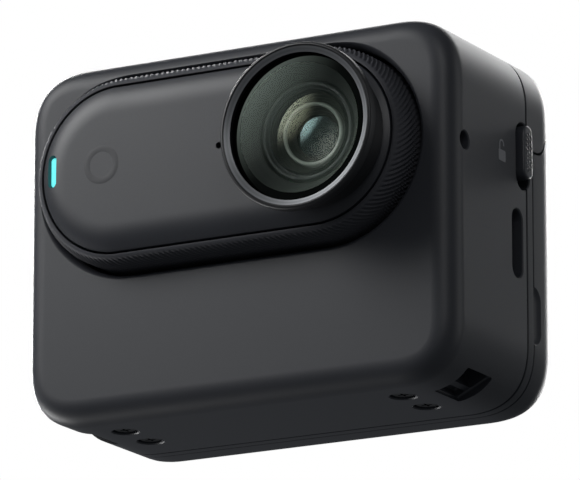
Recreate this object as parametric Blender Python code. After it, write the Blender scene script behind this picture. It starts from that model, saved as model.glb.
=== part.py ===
"""Action camera: a stadium-shaped camera module docked in a pod that has a flip-up screen.

Metres, +Z up, and the lens faces -Y. The origin is on the flat base, midway between the pod's two sides and
midway between its front and rear faces.
"""
import math

import bmesh
import bpy
from mathutils import Matrix, Vector

MM = 0.001
GAP = 0.3 * MM

# The pod's outer form.
POD_WIDTH = 63.5 * MM
POD_HEIGHT = 48.2 * MM
POD_DEPTH = 29.5 * MM
CORNER_RADIUS = 9.2 * MM
CORNER_EXPONENT = 2.7
FRONT_EDGE = 3.2 * MM
REAR_EDGE = 4.0 * MM
EDGE_EXPONENT = 2.3
CORNER_STEPS = 6
EDGE_STEPS = 4
WALL = 1.6 * MM
FRONT_WALL = 1.8 * MM
FRONT_Y = -POD_DEPTH / 2
REAR_Y = POD_DEPTH / 2
SIDE_X = POD_WIDTH / 2
SHELL_SEAM_Y = 6.2 * MM
SCREEN_SEAM_Y = 7.9 * MM

# The camera module: offsets from a straight spine along X.
SPINE_X = -1.0 * MM
SPINE_Z = 32.4 * MM
SPINE_HALF = 14.9 * MM
FACE_RADIUS = 11.2 * MM
MODULE_RADIUS = 12.8 * MM
FACE_Y = -19.2 * MM
FACE_SEAM_Y = -18.2 * MM
MODULE_BACK_Y = -0.9 * MM
MODULE_WALL = 1.4 * MM
POCKET_RADIUS = MODULE_RADIUS + 0.45 * MM
CRADLE_WALL = 0.6 * MM
STADIUM_STEPS = 9

# The lens and its twist-off guard, turned about a line along Y.
LENS_X = 15.0 * MM
LENS_Z = 32.3 * MM
GUARD_FRONT_Y = -25.7 * MM
GUARD_RADIUS = 11.0 * MM
GUARD_NECK_RADIUS = 9.4 * MM
GLASS_RADIUS = 9.9 * MM
BARREL_RADIUS = 6.4 * MM
BARREL_FRONT_Y = -22.3 * MM
LENS_STEPS = 28

# The flip-up screen's hinge, a line along X.
HINGE_RADIUS = 4.55 * MM
HINGE_Y = REAR_Y - HINGE_RADIUS
HINGE_Z = POD_HEIGHT - HINGE_RADIUS
CHEEK_INNER_X = 22.3 * MM
ARM_HALF = 22.0 * MM
PIN_RADIUS = 1.5 * MM

# Controls, ports and fixings.
SHUTTER_X = 19.0 * MM
SHUTTER_Y = -4.0 * MM
SHUTTER_RADIUS = 4.3 * MM
SIDE_BUTTON_Y = -1.0 * MM
SIDE_BUTTON_HALF = 4.0 * MM
SIDE_BUTTON_RADIUS = 1.4 * MM
POWER_Z = 13.5 * MM
QUICK_MENU_Z = 25.0 * MM
SLIDER_Y = 5.1 * MM
SLIDER_Z = 33.75 * MM
SLIDER_SLOT_Z = 33.3 * MM
USB_Y = 3.45 * MM
USB_Z = 21.3 * MM
MIC_Y = -11.1 * MM
MIC_Z = 31.6 * MM
SPEAKER_Y = 3.3 * MM
SPEAKER_Z = 10.5 * MM
SCREW_X = 20.6 * MM
SCREW_YS = (-7.25 * MM, -0.8 * MM)
RECESS_X = 27.75 * MM
RECESS_Y = -4.3 * MM
RECESS_SLOPE = math.radians(27)


# ---------------------------------------------------------------------------------------------- outlines


def rounded_rectangle(half_x, half_z, radius, centre=(0.0, 0.0), exponent=CORNER_EXPONENT, steps=CORNER_STEPS):
    """Points (x, z) of a rectangle with superelliptic corners, anticlockwise from the right."""
    outline = []
    for quarter, (side_x, side_z) in enumerate(((1, 1), (-1, 1), (-1, -1), (1, -1))):
        for step in range(steps + 1):
            angle = (quarter + step / steps) * math.pi / 2
            cosine = math.cos(angle)
            sine = math.sin(angle)
            reach_x = math.copysign(abs(cosine) ** (2 / exponent), cosine)
            reach_z = math.copysign(abs(sine) ** (2 / exponent), sine)
            x = centre[0] + side_x * (half_x - radius) + radius * reach_x
            z = centre[1] + side_z * (half_z - radius) + radius * reach_z
            outline.append((x, z))
    return outline


def stadium(radius, half=SPINE_HALF, centre=(SPINE_X, SPINE_Z), steps=STADIUM_STEPS):
    """Points (x, z) of a straight-sided slot shape with round ends, long along X."""
    outline = []
    for side, start in ((1, -math.pi / 2), (-1, math.pi / 2)):
        for step in range(steps + 1):
            angle = start + math.pi * step / steps
            outline.append((centre[0] + side * half + radius * math.cos(angle), centre[1] + radius * math.sin(angle)))
    return outline


def at_depth(outline, y):
    """The outline as a ring of points in the plane at depth y."""
    return [(x, y, z) for x, z in outline]


def edge_inset(distance, radius):
    """How far a softened edge pulls in, at a distance from the face it leads to."""
    if distance >= radius:
        return 0.0
    part = 1 - distance / radius
    return radius * (1 - (1 - part ** EDGE_EXPONENT) ** (1 / EDGE_EXPONENT))


def pod_ring(y):
    """The pod's outline at depth y, pulled in by its softened front or rear edge."""
    pull = edge_inset(y - FRONT_Y, FRONT_EDGE) + edge_inset(REAR_Y - y, REAR_EDGE)
    outline = rounded_rectangle(SIDE_X - pull, POD_HEIGHT / 2 - pull, CORNER_RADIUS - pull, (0.0, POD_HEIGHT / 2))
    return at_depth(outline, y)


def pod_slice(y_low, y_high):
    """Rings of the pod's outer form between two depths."""
    depths = {y_low, y_high}
    for step in range(EDGE_STEPS + 1):
        share = 1 - math.cos(step * math.pi / 2 / EDGE_STEPS)
        depths.add(FRONT_Y + FRONT_EDGE * share)
        depths.add(REAR_Y - REAR_EDGE * share)
    return [pod_ring(y) for y in sorted(depths) if y_low <= y <= y_high]


def hinge_edge(offset):
    """Points (y, z) of the line between the fixed hinge cheeks, above it, and the screen panel, below it.

    It runs level from the seam, turns up, and then follows an arc about the hinge line, so that the panel swings
    clear. The offset moves it away from the hinge line.
    """
    turn_y = 9.0 * MM
    turn_radius = 2.6 * MM
    low_z = 34.6 * MM
    arc_radius = 6.75 * MM + offset
    points = [(SCREEN_SEAM_Y - 1.0 * MM, low_z - offset)]
    for step in range(6):
        angle = math.radians(14 * step)
        y = turn_y + (turn_radius + offset) * math.sin(angle)
        points.append((y, low_z + turn_radius - (turn_radius + offset) * math.cos(angle)))
    for step in range(7):
        angle = math.radians(15 + 6 * step)
        points.append((HINGE_Y + arc_radius * math.sin(angle), HINGE_Z - arc_radius * math.cos(angle)))
    return points


# ------------------------------------------------------------------------------------------ mesh builders


def loft(rings):
    """A closed solid through rings with the same number of points."""
    mesh = bmesh.new()
    loops = [[mesh.verts.new(point) for point in ring] for ring in rings]
    count = len(loops[0])
    for near, far in zip(loops, loops[1:]):
        for index in range(count):
            after = (index + 1) % count
            mesh.faces.new((near[index], near[after], far[after], far[index]))
    mesh.faces.new(loops[0])
    mesh.faces.new(loops[-1])
    bmesh.ops.recalc_face_normals(mesh, faces=mesh.faces)
    return mesh


def box(low, high):
    """A box between two corners."""
    mesh = bmesh.new()
    size = Vector(high) - Vector(low)
    centre = (Vector(high) + Vector(low)) / 2
    bmesh.ops.create_cube(mesh, size=1.0, matrix=Matrix.Translation(centre) @ Matrix.Diagonal((*size, 1.0)))
    return mesh


def prism(outline, x_low, x_high):
    """A solid with an outline of (y, z) points, straight along X."""
    return loft([[(x, y, z) for y, z in outline] for x in (x_low, x_high)])


def rod(axis, centre, radius, low, high, steps=16):
    """A round bar along X, Y or Z, between two places on that axis; centre is its place on the other two."""
    rings = []
    for along in (low, high):
        ring = []
        for step in range(steps):
            angle = 2 * math.pi * step / steps
            point = [centre[0] + radius * math.cos(angle), centre[1] + radius * math.sin(angle)]
            point.insert("XYZ".index(axis), along)
            ring.append(tuple(point))
        rings.append(ring)
    return loft(rings)


def slot_bar(y, z, half, radius, x_low, x_high, steps=6):
    """A bar along X whose section is a slot shape, long along Z."""
    outline = []
    for side, start in ((1, 0.0), (-1, math.pi)):
        for step in range(steps + 1):
            angle = start + math.pi * step / steps
            outline.append((y + radius * math.cos(angle), z + side * (half - radius) + radius * math.sin(angle)))
    return prism(outline, x_low, x_high)


def turned(profile, centre=(LENS_X, LENS_Z), steps=LENS_STEPS):
    """A solid turned about a line along Y from (radius, y) points; it is a ring if no radius is zero."""
    mesh = bmesh.new()
    rings = []
    for radius, y in profile:
        if radius == 0:
            rings.append([mesh.verts.new((centre[0], y, centre[1]))])
            continue
        ring = []
        for step in range(steps):
            angle = 2 * math.pi * step / steps
            x = centre[0] + radius * math.cos(angle)
            ring.append(mesh.verts.new((x, y, centre[1] + radius * math.sin(angle))))
        rings.append(ring)
    pairs = list(zip(rings, rings[1:]))
    if len(rings[0]) > 1:
        pairs.append((rings[-1], rings[0]))
    for near, far in pairs:
        for step in range(steps):
            after = (step + 1) % steps
            corners = [near[step % len(near)], near[after % len(near)], far[after % len(far)], far[step % len(far)]]
            mesh.faces.new(list(dict.fromkeys(corners)))
    bmesh.ops.recalc_face_normals(mesh, faces=mesh.faces)
    return mesh


def coil_spring(centre, radius, wire, z_low, z_high, turns, sides=6, steps_per_turn=10):
    """A round-wire compression spring standing along Z."""
    rings = []
    steps = turns * steps_per_turn
    for step in range(steps + 1):
        angle = 2 * math.pi * step / steps_per_turn
        middle_z = z_low + wire + (z_high - z_low - 2 * wire) * step / steps
        ring = []
        for side in range(sides):
            turn = 2 * math.pi * side / sides
            reach = radius + wire * math.cos(turn)
            z = middle_z + wire * math.sin(turn)
            ring.append((centre[0] + reach * math.cos(angle), centre[1] + reach * math.sin(angle), z))
        rings.append(ring)
    return loft(rings)


# --------------------------------------------------------------------------------------- scene and pieces


def clear_scene():
    for leftover in list(bpy.data.objects):
        bpy.data.objects.remove(leftover, do_unlink=True)


def joint_origin(name, place):
    """An empty on a joint's axis, which carries the pieces that move with it."""
    empty = bpy.data.objects.new(name, None)
    empty.empty_display_size = 5 * MM
    empty.location = place
    bpy.context.scene.collection.objects.link(empty)
    return empty


def new_object(name, mesh):
    data = bpy.data.meshes.new(name)
    mesh.to_mesh(data)
    mesh.free()
    item = bpy.data.objects.new(name, data)
    bpy.context.scene.collection.objects.link(item)
    return item


def piece(name, mesh, colour, roughness=0.5, metallic=0.0, carrier=None):
    """A finished sub-part in its own material, hung from its joint's empty when it moves."""
    item = new_object(name, mesh)
    item.data.shade_smooth()
    item.data.set_sharp_from_angle(angle=math.radians(35))
    finish = bpy.data.materials.new(name + "_finish")
    finish.use_nodes = True
    shader = finish.node_tree.nodes["Principled BSDF"]
    shader.inputs["Base Color"].default_value = (*colour, 1.0)
    shader.inputs["Roughness"].default_value = roughness
    shader.inputs["Metallic"].default_value = metallic
    item.data.materials.append(finish)
    if carrier is not None:
        item.data.transform(Matrix.Translation(-carrier.location))
        item.parent = carrier
    return item


def tool(name, mesh):
    """A hidden shape that only cuts or fills out a piece."""
    item = new_object(name, mesh)
    item.hide_render = True
    item.display_type = "WIRE"
    return item


def combine(item, operand, operation="DIFFERENCE"):
    change = item.modifiers.new(operand.name, "BOOLEAN")
    change.operation = operation
    change.solver = "EXACT"
    change.object = operand


def cut(item, name, mesh):
    combine(item, tool(name, mesh))


def add(item, name, mesh):
    combine(item, tool(name, mesh), "UNION")


CHARCOAL = (0.065, 0.067, 0.072)
BLACK = (0.012, 0.012, 0.013)
STEEL = (0.55, 0.55, 0.56)
BOARD_GREEN = (0.02, 0.11, 0.05)
COPPER = (0.75, 0.42, 0.25)
LENS_GLASS = (0.06, 0.09, 0.10)


# ------------------------------------------------------------------------------------------------ the pod


def recess_box(side, along_low, along_high, depth):
    """A cutter for part of a base recess: a box laid on the sloping lower corner, long across the pod."""
    half_length = 3.4 * MM
    mesh = box((along_low, -half_length, -3 * MM), (along_high, half_length, depth))
    surface_z = 1.35 * MM
    tilt = Matrix.Rotation(-side * RECESS_SLOPE, 4, "Y")
    flip = Matrix.Diagonal((side, 1.0, 1.0, 1.0))
    place = Matrix.Translation((side * RECESS_X, RECESS_Y, surface_z))
    bmesh.ops.transform(mesh, matrix=place @ tilt @ flip, verts=mesh.verts)
    bmesh.ops.recalc_face_normals(mesh, faces=mesh.faces)
    return mesh


def slider_slot(name):
    mesh = slot_bar(SLIDER_Y, SLIDER_SLOT_Z, 4.5 * MM, 1.85 * MM, SIDE_X - WALL - 0.1 * MM, SIDE_X + 2 * MM)
    return tool(name, mesh)


def hinge_slot():
    """The space in the pod's top and rear where the hinge barrel and its arm turn."""
    front_y = HINGE_Y - HINGE_RADIUS - 0.35 * MM
    floor_z = HINGE_Z - HINGE_RADIUS - 0.35 * MM
    above = POD_HEIGHT + 3 * MM
    behind = REAR_Y + 3 * MM
    outline = [(front_y, floor_z), (behind, floor_z), (behind, above), (front_y, above)]
    return prism(outline, -CHEEK_INNER_X, CHEEK_INNER_X)


def make_front_shell():
    shell = piece("pod_front_shell", loft(pod_slice(FRONT_Y, SHELL_SEAM_Y - GAP / 2)), CHARCOAL, 0.55)
    inside = rounded_rectangle(SIDE_X - WALL, POD_HEIGHT / 2 - WALL, CORNER_RADIUS - WALL, (0.0, POD_HEIGHT / 2))
    hollow_depths = (FRONT_Y + FRONT_WALL, SHELL_SEAM_Y + 2 * MM)
    cut(shell, "shell_hollow", loft([at_depth(inside, y) for y in hollow_depths]))
    pocket = [(14.6, -15.6), (14.1, -14.75), (13.75, -14.35), (13.45, -13.9), (13.25, -13.3), (13.25, -11.0)]
    cut(shell, "pocket_mouth", loft([at_depth(stadium(radius * MM), y * MM) for radius, y in pocket]))
    for side, word in ((1, "right"), (-1, "left")):
        boss = [(23.6, 1.0), (26.0, 1.0), (30.4, 4.3), (30.4, 6.8), (23.6, 6.8)]
        boss = [(side * x * MM, z * MM) for x, z in boss]
        add(shell, "recess_boss_" + word, loft([at_depth(boss, y * MM) for y in (-9.0, 0.4)]))
        cut(shell, "recess_shallow_" + word, recess_box(side, -2.75 * MM, 2.75 * MM, 0.7 * MM))
        cut(shell, "recess_pit_" + word, recess_box(side, -0.5 * MM, 2.7 * MM, 3.6 * MM))
        cut(shell, "recess_groove_" + word, recess_box(side, -2.7 * MM, -1.3 * MM, 1.7 * MM))
        for number, y in enumerate(SCREW_YS):
            name = "_{}_{}".format(word, number)
            at = (side * SCREW_X, y)
            cut(shell, "counterbore" + name, rod("Z", at, 1.75 * MM, -MM, 1.15 * MM, 18))
            cut(shell, "screw_hole" + name, rod("Z", at, 1.05 * MM, 0.5 * MM, 3 * MM, 10))
    top = rod("Z", (SHUTTER_X, SHUTTER_Y), SHUTTER_RADIUS + GAP, POD_HEIGHT - 3 * MM, POD_HEIGHT + MM, 24)
    cut(shell, "shutter_hole", top)
    for name, z in (("power_hole", POWER_Z), ("quick_menu_hole", QUICK_MENU_Z)):
        half = SIDE_BUTTON_HALF + GAP
        radius = SIDE_BUTTON_RADIUS + GAP
        cut(shell, name, slot_bar(SIDE_BUTTON_Y, z, half, radius, -SIDE_X - MM, -SIDE_X + 3 * MM))
    combine(shell, slider_slot("slider_slot_front"))
    usb = slot_bar(USB_Y, USB_Z, 4.6 * MM, 1.45 * MM, SIDE_X - 3 * MM, SIDE_X + MM)
    cut(shell, "usb_slot", usb)
    cut(shell, "pod_mic_hole", rod("X", (MIC_Y, MIC_Z), 1.2 * MM, SIDE_X - 3 * MM, SIDE_X + MM, 14))
    for number in range(4):
        at = (SPEAKER_Y + (number - 1.5) * 1.5 * MM, SPEAKER_Z)
        cut(shell, "speaker_hole_{}".format(number), rod("X", at, 0.4 * MM, -SIDE_X - MM, -SIDE_X + 3 * MM, 8))
    cut(shell, "hinge_slot_front", hinge_slot())


def make_mid_frame():
    frame = piece("pod_mid_frame", loft(pod_slice(SHELL_SEAM_Y + GAP / 2, REAR_Y)), CHARCOAL, 0.5)
    front_y = SCREEN_SEAM_Y - GAP / 2
    below = -2 * MM
    edge = [point for point in hinge_edge(-GAP / 2) if point[0] > front_y]
    beyond = REAR_Y + 2 * MM
    space = [(front_y, below), (beyond, below), (beyond, edge[-1][1]), *reversed(edge), (front_y, edge[0][1])]
    cut(frame, "screen_space", prism(space, -SIDE_X - MM, SIDE_X + MM))
    trough = box((-23.6 * MM, 3.9 * MM, 37.4 * MM), (23.6 * MM, SHELL_SEAM_Y + MM, 46.1 * MM))
    add(frame, "hinge_trough", trough)
    seat = box((25.5 * MM, 3.7 * MM, 26.6 * MM), (27.7 * MM, SHELL_SEAM_Y + MM, 27.3 * MM))
    add(frame, "spring_seat", seat)
    cut(frame, "hinge_slot_rear", hinge_slot())
    arm_low = 34.2 * MM
    arm_space = box((-CHEEK_INNER_X, front_y + 0.02 * MM, arm_low), (CHEEK_INNER_X, REAR_Y + MM, HINGE_Z))
    cut(frame, "arm_space", arm_space)
    for side in (1, -1):
        ends = sorted((side * 20 * MM, side * 29.4 * MM))
        hole = rod("X", (HINGE_Y, HINGE_Z), PIN_RADIUS + 0.1 * MM, ends[0], ends[1], 16)
        cut(frame, "pin_bore_{}".format("right" if side > 0 else "left"), hole)
    combine(frame, slider_slot("slider_slot_rear"))


def make_cradle():
    outer = POCKET_RADIUS + CRADLE_WALL
    floor_y = MODULE_BACK_Y + 0.4 * MM
    back_y = floor_y + 1.4 * MM
    front_y = FRONT_Y + FRONT_WALL + GAP
    cradle = piece("camera_cradle", loft([at_depth(stadium(outer), y) for y in (front_y, back_y)]), BLACK, 0.6)
    cut(cradle, "cradle_pocket", loft([at_depth(stadium(POCKET_RADIUS), y) for y in (front_y - MM, floor_y)]))
    cut(cradle, "pogo_window", box((-12 * MM, floor_y - MM, 25.6 * MM), (-3 * MM, back_y + MM, 29.2 * MM)))
    cut(cradle, "latch_window", box((21.6 * MM, floor_y - MM, 31.6 * MM), (24.6 * MM, back_y + MM, 34.8 * MM)))
    for word, x in (("left", -18.0 * MM), ("right", 12.0 * MM)):
        magnet = turned([(0, back_y + GAP), (4.0 * MM, back_y + GAP), (4.0 * MM, back_y + 1.3 * MM),
                         (0, back_y + 1.3 * MM)], (x, SPINE_Z), 20)
        piece("cradle_magnet_" + word, magnet, STEEL, 0.3, 1.0)
    block = box((-11.7 * MM, floor_y, 25.9 * MM), (-3.3 * MM, back_y + 1.2 * MM, 28.9 * MM))
    block_piece = piece("pogo_pin_block", block, BLACK, 0.5)
    for number in range(5):
        at = (-10.5 * MM + number * 1.5 * MM, 27.4 * MM)
        add(block_piece, "pogo_pin_{}".format(number), rod("Y", at, 0.4 * MM, floor_y - 0.1 * MM, floor_y + MM, 8))


def make_pod_electronics():
    board_y = 2.6 * MM
    board = box((-27 * MM, board_y, 17.2 * MM), (20.4 * MM, board_y + 0.9 * MM, 45.6 * MM))
    piece("pod_main_board", board, BOARD_GREEN, 0.4)
    battery = loft([at_depth(rounded_rectangle(18 * MM, 7.3 * MM, 1.5 * MM, (0, 10.4 * MM), 2.0, 3), y * MM)
                    for y in (-11.0, 1.6)])
    piece("pod_battery", battery, (0.3, 0.31, 0.33), 0.4, 0.3)
    shell_x = SIDE_X - 0.9 * MM
    usb = piece("usb_c_receptacle", slot_bar(USB_Y, USB_Z, 4.9 * MM, 1.7 * MM, 23.6 * MM, SIDE_X - WALL - GAP),
                STEEL, 0.3, 1.0)
    mouth = slot_bar(USB_Y, USB_Z, 4.5 * MM, 1.3 * MM, 25.0 * MM, shell_x)
    cut(usb, "usb_mouth", mouth)
    add(usb, "usb_tongue", box((24.6 * MM, USB_Y - 0.35 * MM, USB_Z - 3.3 * MM),
                               (29.4 * MM, USB_Y + 0.35 * MM, USB_Z + 3.3 * MM)))
    speaker_low = (-29.8 * MM, SPEAKER_Y - 2.5 * MM, SPEAKER_Z - 4.5 * MM)
    speaker = box(speaker_low, (-26.8 * MM, SPEAKER_Y + 2.5 * MM, SPEAKER_Z + 4.5 * MM))
    piece("pod_speaker", speaker, BLACK, 0.5)
    capsule = box((29.1 * MM, MIC_Y - 1.3 * MM, MIC_Z - 1.3 * MM), (29.8 * MM, MIC_Y + 1.6 * MM, MIC_Z + 1.3 * MM))
    piece("pod_microphone", capsule, STEEL, 0.35, 1.0)
    shutter_switch = box((21.3 * MM, SHUTTER_Y - 1.5 * MM, 44.6 * MM), (23.7 * MM, SHUTTER_Y + 1.5 * MM, 45.5 * MM))
    piece("shutter_switch", shutter_switch, STEEL, 0.35, 1.0)
    for name, z in (("power_switch", POWER_Z), ("quick_menu_switch", QUICK_MENU_Z)):
        low = (-29.4 * MM, SIDE_BUTTON_Y - 1.4 * MM, z - 1.7 * MM)
        high = (-28.4 * MM, SIDE_BUTTON_Y + 1.4 * MM, z + 1.7 * MM)
        piece(name, box(low, high), STEEL, 0.35, 1.0)


def make_base_fixings():
    number = 1
    for side, word in ((-1, "left"), (1, "right")):
        ends = sorted((side * 18.6 * MM, side * 23.2 * MM))
        plate_mesh = box((ends[0], -9.4 * MM, 1.9 * MM), (ends[1], 1.4 * MM, 2.9 * MM))
        plate = piece("mount_plate_" + word, plate_mesh, STEEL, 0.35, 1.0)
        for y in SCREW_YS:
            at = (side * SCREW_X, y)
            cut(plate, "plate_hole_{}".format(number), rod("Z", at, 0.95 * MM, MM, 4 * MM, 12))
            screw = piece("base_screw_{}".format(number), rod("Z", at, 1.45 * MM, 0.25 * MM, 0.95 * MM, 16),
                          STEEL, 0.35, 1.0)
            add(screw, "shank_{}".format(number), rod("Z", at, 0.75 * MM, 0.6 * MM, 3.6 * MM, 10))
            for axis in range(2):
                half = [0.75 * MM, 0.16 * MM]
                half_x = half[axis]
                half_y = half[1 - axis]
                drive = box((at[0] - half_x, at[1] - half_y, -MM), (at[0] + half_x, at[1] + half_y, 0.55 * MM))
                cut(screw, "drive_{}_{}".format(number, axis), drive)
            number += 1


# ------------------------------------------------------------------------------------- keys and the latch


def make_keys():
    shutter = joint_origin("shutter_axis", (SHUTTER_X, SHUTTER_Y, POD_HEIGHT))
    cap_top = POD_HEIGHT - 0.1 * MM
    cap = rod("Z", (SHUTTER_X, SHUTTER_Y), SHUTTER_RADIUS, cap_top - 1.0 * MM, cap_top, 24)
    button = piece("shutter_button", cap, CHARCOAL, 0.45, carrier=shutter)
    stem = rod("Z", (SHUTTER_X + 3.4 * MM, SHUTTER_Y), 0.7 * MM, 46.1 * MM, cap_top - 0.5 * MM, 10)
    add(button, "shutter_stem", stem)
    for name, z in (("power", POWER_Z), ("quick_menu", QUICK_MENU_Z)):
        axis = joint_origin(name + "_axis", (-SIDE_X, SIDE_BUTTON_Y, z))
        outer = -SIDE_X - 0.25 * MM
        cap = slot_bar(SIDE_BUTTON_Y, z, SIDE_BUTTON_HALF, SIDE_BUTTON_RADIUS, outer, outer + 1.2 * MM)
        button = piece(name + "_button", cap, CHARCOAL, 0.45, carrier=axis)
        add(button, name + "_stem", rod("X", (SIDE_BUTTON_Y, z), 0.7 * MM, outer + 0.6 * MM, -29.95 * MM, 10))


def make_release():
    slide = joint_origin("release_slide_axis", (SIDE_X, SLIDER_Y, SLIDER_Z))
    thumb = slot_bar(SLIDER_Y, SLIDER_Z, 3.6 * MM, 1.25 * MM, 30.2 * MM, SIDE_X + MM)
    slider = piece("release_slider", thumb, CHARCOAL, 0.45, carrier=slide)
    neck = box((29.3 * MM, SLIDER_Y - 0.7 * MM, SLIDER_Z - 2 * MM), (30.9 * MM, SLIDER_Y + 0.7 * MM, SLIDER_Z + 2 * MM))
    add(slider, "slider_neck", neck)
    add(slider, "slider_plate", box((29.0 * MM, 2.5 * MM, 27.9 * MM), (29.8 * MM, 6.0 * MM, 39.2 * MM)))
    add(slider, "slider_tab", box((25.6 * MM, 3.9 * MM, 34.0 * MM), (29.4 * MM, 5.7 * MM, 35.4 * MM)))
    spring = coil_spring((26.6 * MM, 4.8 * MM), 0.7 * MM, 0.16 * MM, 27.6 * MM, 33.7 * MM, 6)
    piece("release_spring", spring, STEEL, 0.3, 1.0)
    latch_axis = joint_origin("release_latch_axis", (24 * MM, 2 * MM, 33.2 * MM))
    latch = piece("release_latch", box((20.9 * MM, 1.3 * MM, 31.9 * MM), (28.2 * MM, 2.2 * MM, 34.5 * MM)),
                  STEEL, 0.35, 1.0, latch_axis)
    add(latch, "latch_hook", box((22.0 * MM, -0.45 * MM, 32.2 * MM), (23.2 * MM, 1.6 * MM, 34.2 * MM)))


# --------------------------------------------------------------------------------------------- the screen


def make_screen():
    hinge = joint_origin("screen_hinge_axis", (0.0, HINGE_Y, HINGE_Z))
    front_y = SCREEN_SEAM_Y + GAP / 2
    housing = piece("screen_housing", loft(pod_slice(front_y, REAR_Y)), CHARCOAL, 0.5, carrier=hinge)
    above = POD_HEIGHT + 2 * MM
    edge = hinge_edge(GAP / 2)
    outline = [(edge[0][0], above), *edge, (REAR_Y + 2 * MM, edge[-1][1]), (REAR_Y + 2 * MM, above)]
    cut(housing, "cheek_space", prism(outline, -SIDE_X - MM, SIDE_X + MM))
    glass_centre = (0.0, 20.6 * MM)
    glass_half = (27.0 * MM, 16.2 * MM)
    glass_y = REAR_Y - 0.9 * MM

    def glass_outline(inset):
        return rounded_rectangle(glass_half[0] - inset, glass_half[1] - inset, 5.2 * MM - inset, glass_centre)

    cut(housing, "glass_seat", loft([at_depth(glass_outline(-GAP / 2), y) for y in (glass_y - GAP, REAR_Y + MM)]))
    well = rounded_rectangle(24.5 * MM, 14.4 * MM, 2 * MM, glass_centre, 2.0, 3)
    cut(housing, "display_well", loft([at_depth(well, y) for y in (front_y + 1.5 * MM, REAR_Y)]))
    notch = slot_bar(8.0 * MM, 12.6 * MM, 3.9 * MM, 1.9 * MM, SIDE_X - 1.2 * MM, SIDE_X + 2 * MM)
    cut(housing, "finger_notch", notch)
    glass = [at_depth(glass_outline(GAP / 2), glass_y), at_depth(glass_outline(GAP / 2), REAR_Y - 0.25 * MM),
             at_depth(glass_outline(GAP / 2 + 0.25 * MM), REAR_Y - 0.02 * MM)]
    piece("screen_cover_glass", loft(glass), BLACK, 0.08, carrier=hinge)
    panel = box((-23.6 * MM, 11.6 * MM, 7.0 * MM), (23.6 * MM, glass_y - 2 * GAP, 34.2 * MM))
    piece("display_panel", panel, (0.02, 0.02, 0.03), 0.2, carrier=hinge)
    board = box((-20 * MM, 10.0 * MM, 9.0 * MM), (20 * MM, 10.8 * MM, 32.0 * MM))
    piece("screen_board", board, BOARD_GREEN, 0.4, carrier=hinge)
    make_hinge_arm(hinge)


def make_hinge_arm(hinge):
    """The round barrel along the pod's top rear edge, with the arm that carries the panel."""
    barrel = []
    for step in range(15):
        angle = math.radians(200 - 15.0 * step)
        barrel.append((HINGE_Y + HINGE_RADIUS * math.cos(angle), HINGE_Z + HINGE_RADIUS * math.sin(angle)))
    barrel = [point for point in barrel if point[1] >= HINGE_Z - 1.6 * MM]
    foot = [point for point in hinge_edge(-GAP / 2) if point[0] > SCREEN_SEAM_Y + 0.4 * MM]
    foot = [point for point in foot if point[0] < REAR_Y - 0.3 * MM]
    outline = [*barrel, (REAR_Y - 0.02 * MM, HINGE_Z - 4.2 * MM), *reversed(foot)]
    outline.append((SCREEN_SEAM_Y + 0.35 * MM, foot[0][1]))
    outline.append((SCREEN_SEAM_Y + 0.35 * MM, HINGE_Z - 3.6 * MM))
    arm = piece("screen_hinge_arm", prism(outline, -ARM_HALF, ARM_HALF), CHARCOAL, 0.5, carrier=hinge)
    for side, word in ((-1, "left"), (1, "right")):
        bore = sorted((side * 16.6 * MM, side * 23 * MM))
        hole = rod("X", (HINGE_Y, HINGE_Z), PIN_RADIUS + 0.1 * MM, bore[0], bore[1], 16)
        cut(arm, "barrel_bore_" + word, hole)
        ends = sorted((side * 16.9 * MM, side * 29.1 * MM))
        pin = rod("X", (HINGE_Y, HINGE_Z), PIN_RADIUS, ends[0], ends[1], 16)
        piece("hinge_pin_" + word, pin, STEEL, 0.25, 1.0)


# ------------------------------------------------------------------------------------- the camera module


def module_rings(profile):
    return [at_depth(stadium(radius * MM), y * MM) for radius, y in profile]


def make_camera_body(carrier):
    shell_profile = [(11.5, -18.15), (11.95, -17.9), (12.45, -17.2), (12.72, -16.3), (12.8, -15.3), (12.8, -1.7),
                     (12.3, -0.9)]
    shell = piece("camera_body_shell", loft(module_rings(shell_profile)), BLACK, 0.6, carrier=carrier)
    bore = stadium(MODULE_RADIUS - MODULE_WALL)
    cut(shell, "module_bore", loft([at_depth(bore, y * MM) for y in (-20.0, 0.5)]))
    cover_profile = [(11.1, -16.9), (11.1, -18.25), (10.85, -18.55), (10.3, -18.8), (9.2, -19.05), (7.6, -19.2)]
    cover = piece("camera_front_cover", loft(module_rings(cover_profile)), CHARCOAL, 0.4, carrier=carrier)
    cut(cover, "cover_lens_hole", turned([(0, -21 * MM), (7.0 * MM, -21 * MM), (7.0 * MM, -15 * MM), (0, -15 * MM)]))
    light = rounded_rectangle(0.75 * MM, 2.25 * MM, 0.7 * MM, (-25.1 * MM, 33.1 * MM), 2.0, 3)
    cut(cover, "light_slot", loft([at_depth(light, y * MM) for y in (-20.0, -16.0)]))
    cut(cover, "camera_mic_hole", rod("Y", (0.2 * MM, 33.2 * MM), 0.45 * MM, -20 * MM, -16 * MM, 10))
    pipe = rounded_rectangle(0.5 * MM, 2.0 * MM, 0.48 * MM, (-25.1 * MM, 33.1 * MM), 2.0, 3)
    piece("status_light_pipe", loft([at_depth(pipe, y * MM) for y in (-18.35, -15.4)]), (0.1, 0.85, 0.85), 0.3,
          carrier=carrier)
    back = loft(module_rings([(11.1, -2.3), (11.1, -0.9)]))
    back_cover = piece("camera_back_cover", back, BLACK, 0.55, carrier=carrier)
    cut(back_cover, "contact_window", box((-12 * MM, -3 * MM, 25.6 * MM), (-3 * MM, 0.0, 29.2 * MM)))
    contacts = box((-11.7 * MM, -2.2 * MM, 25.9 * MM), (-3.3 * MM, -1.0 * MM, 28.9 * MM))
    piece("camera_contact_plate", contacts, COPPER, 0.3, 1.0, carrier)


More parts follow.
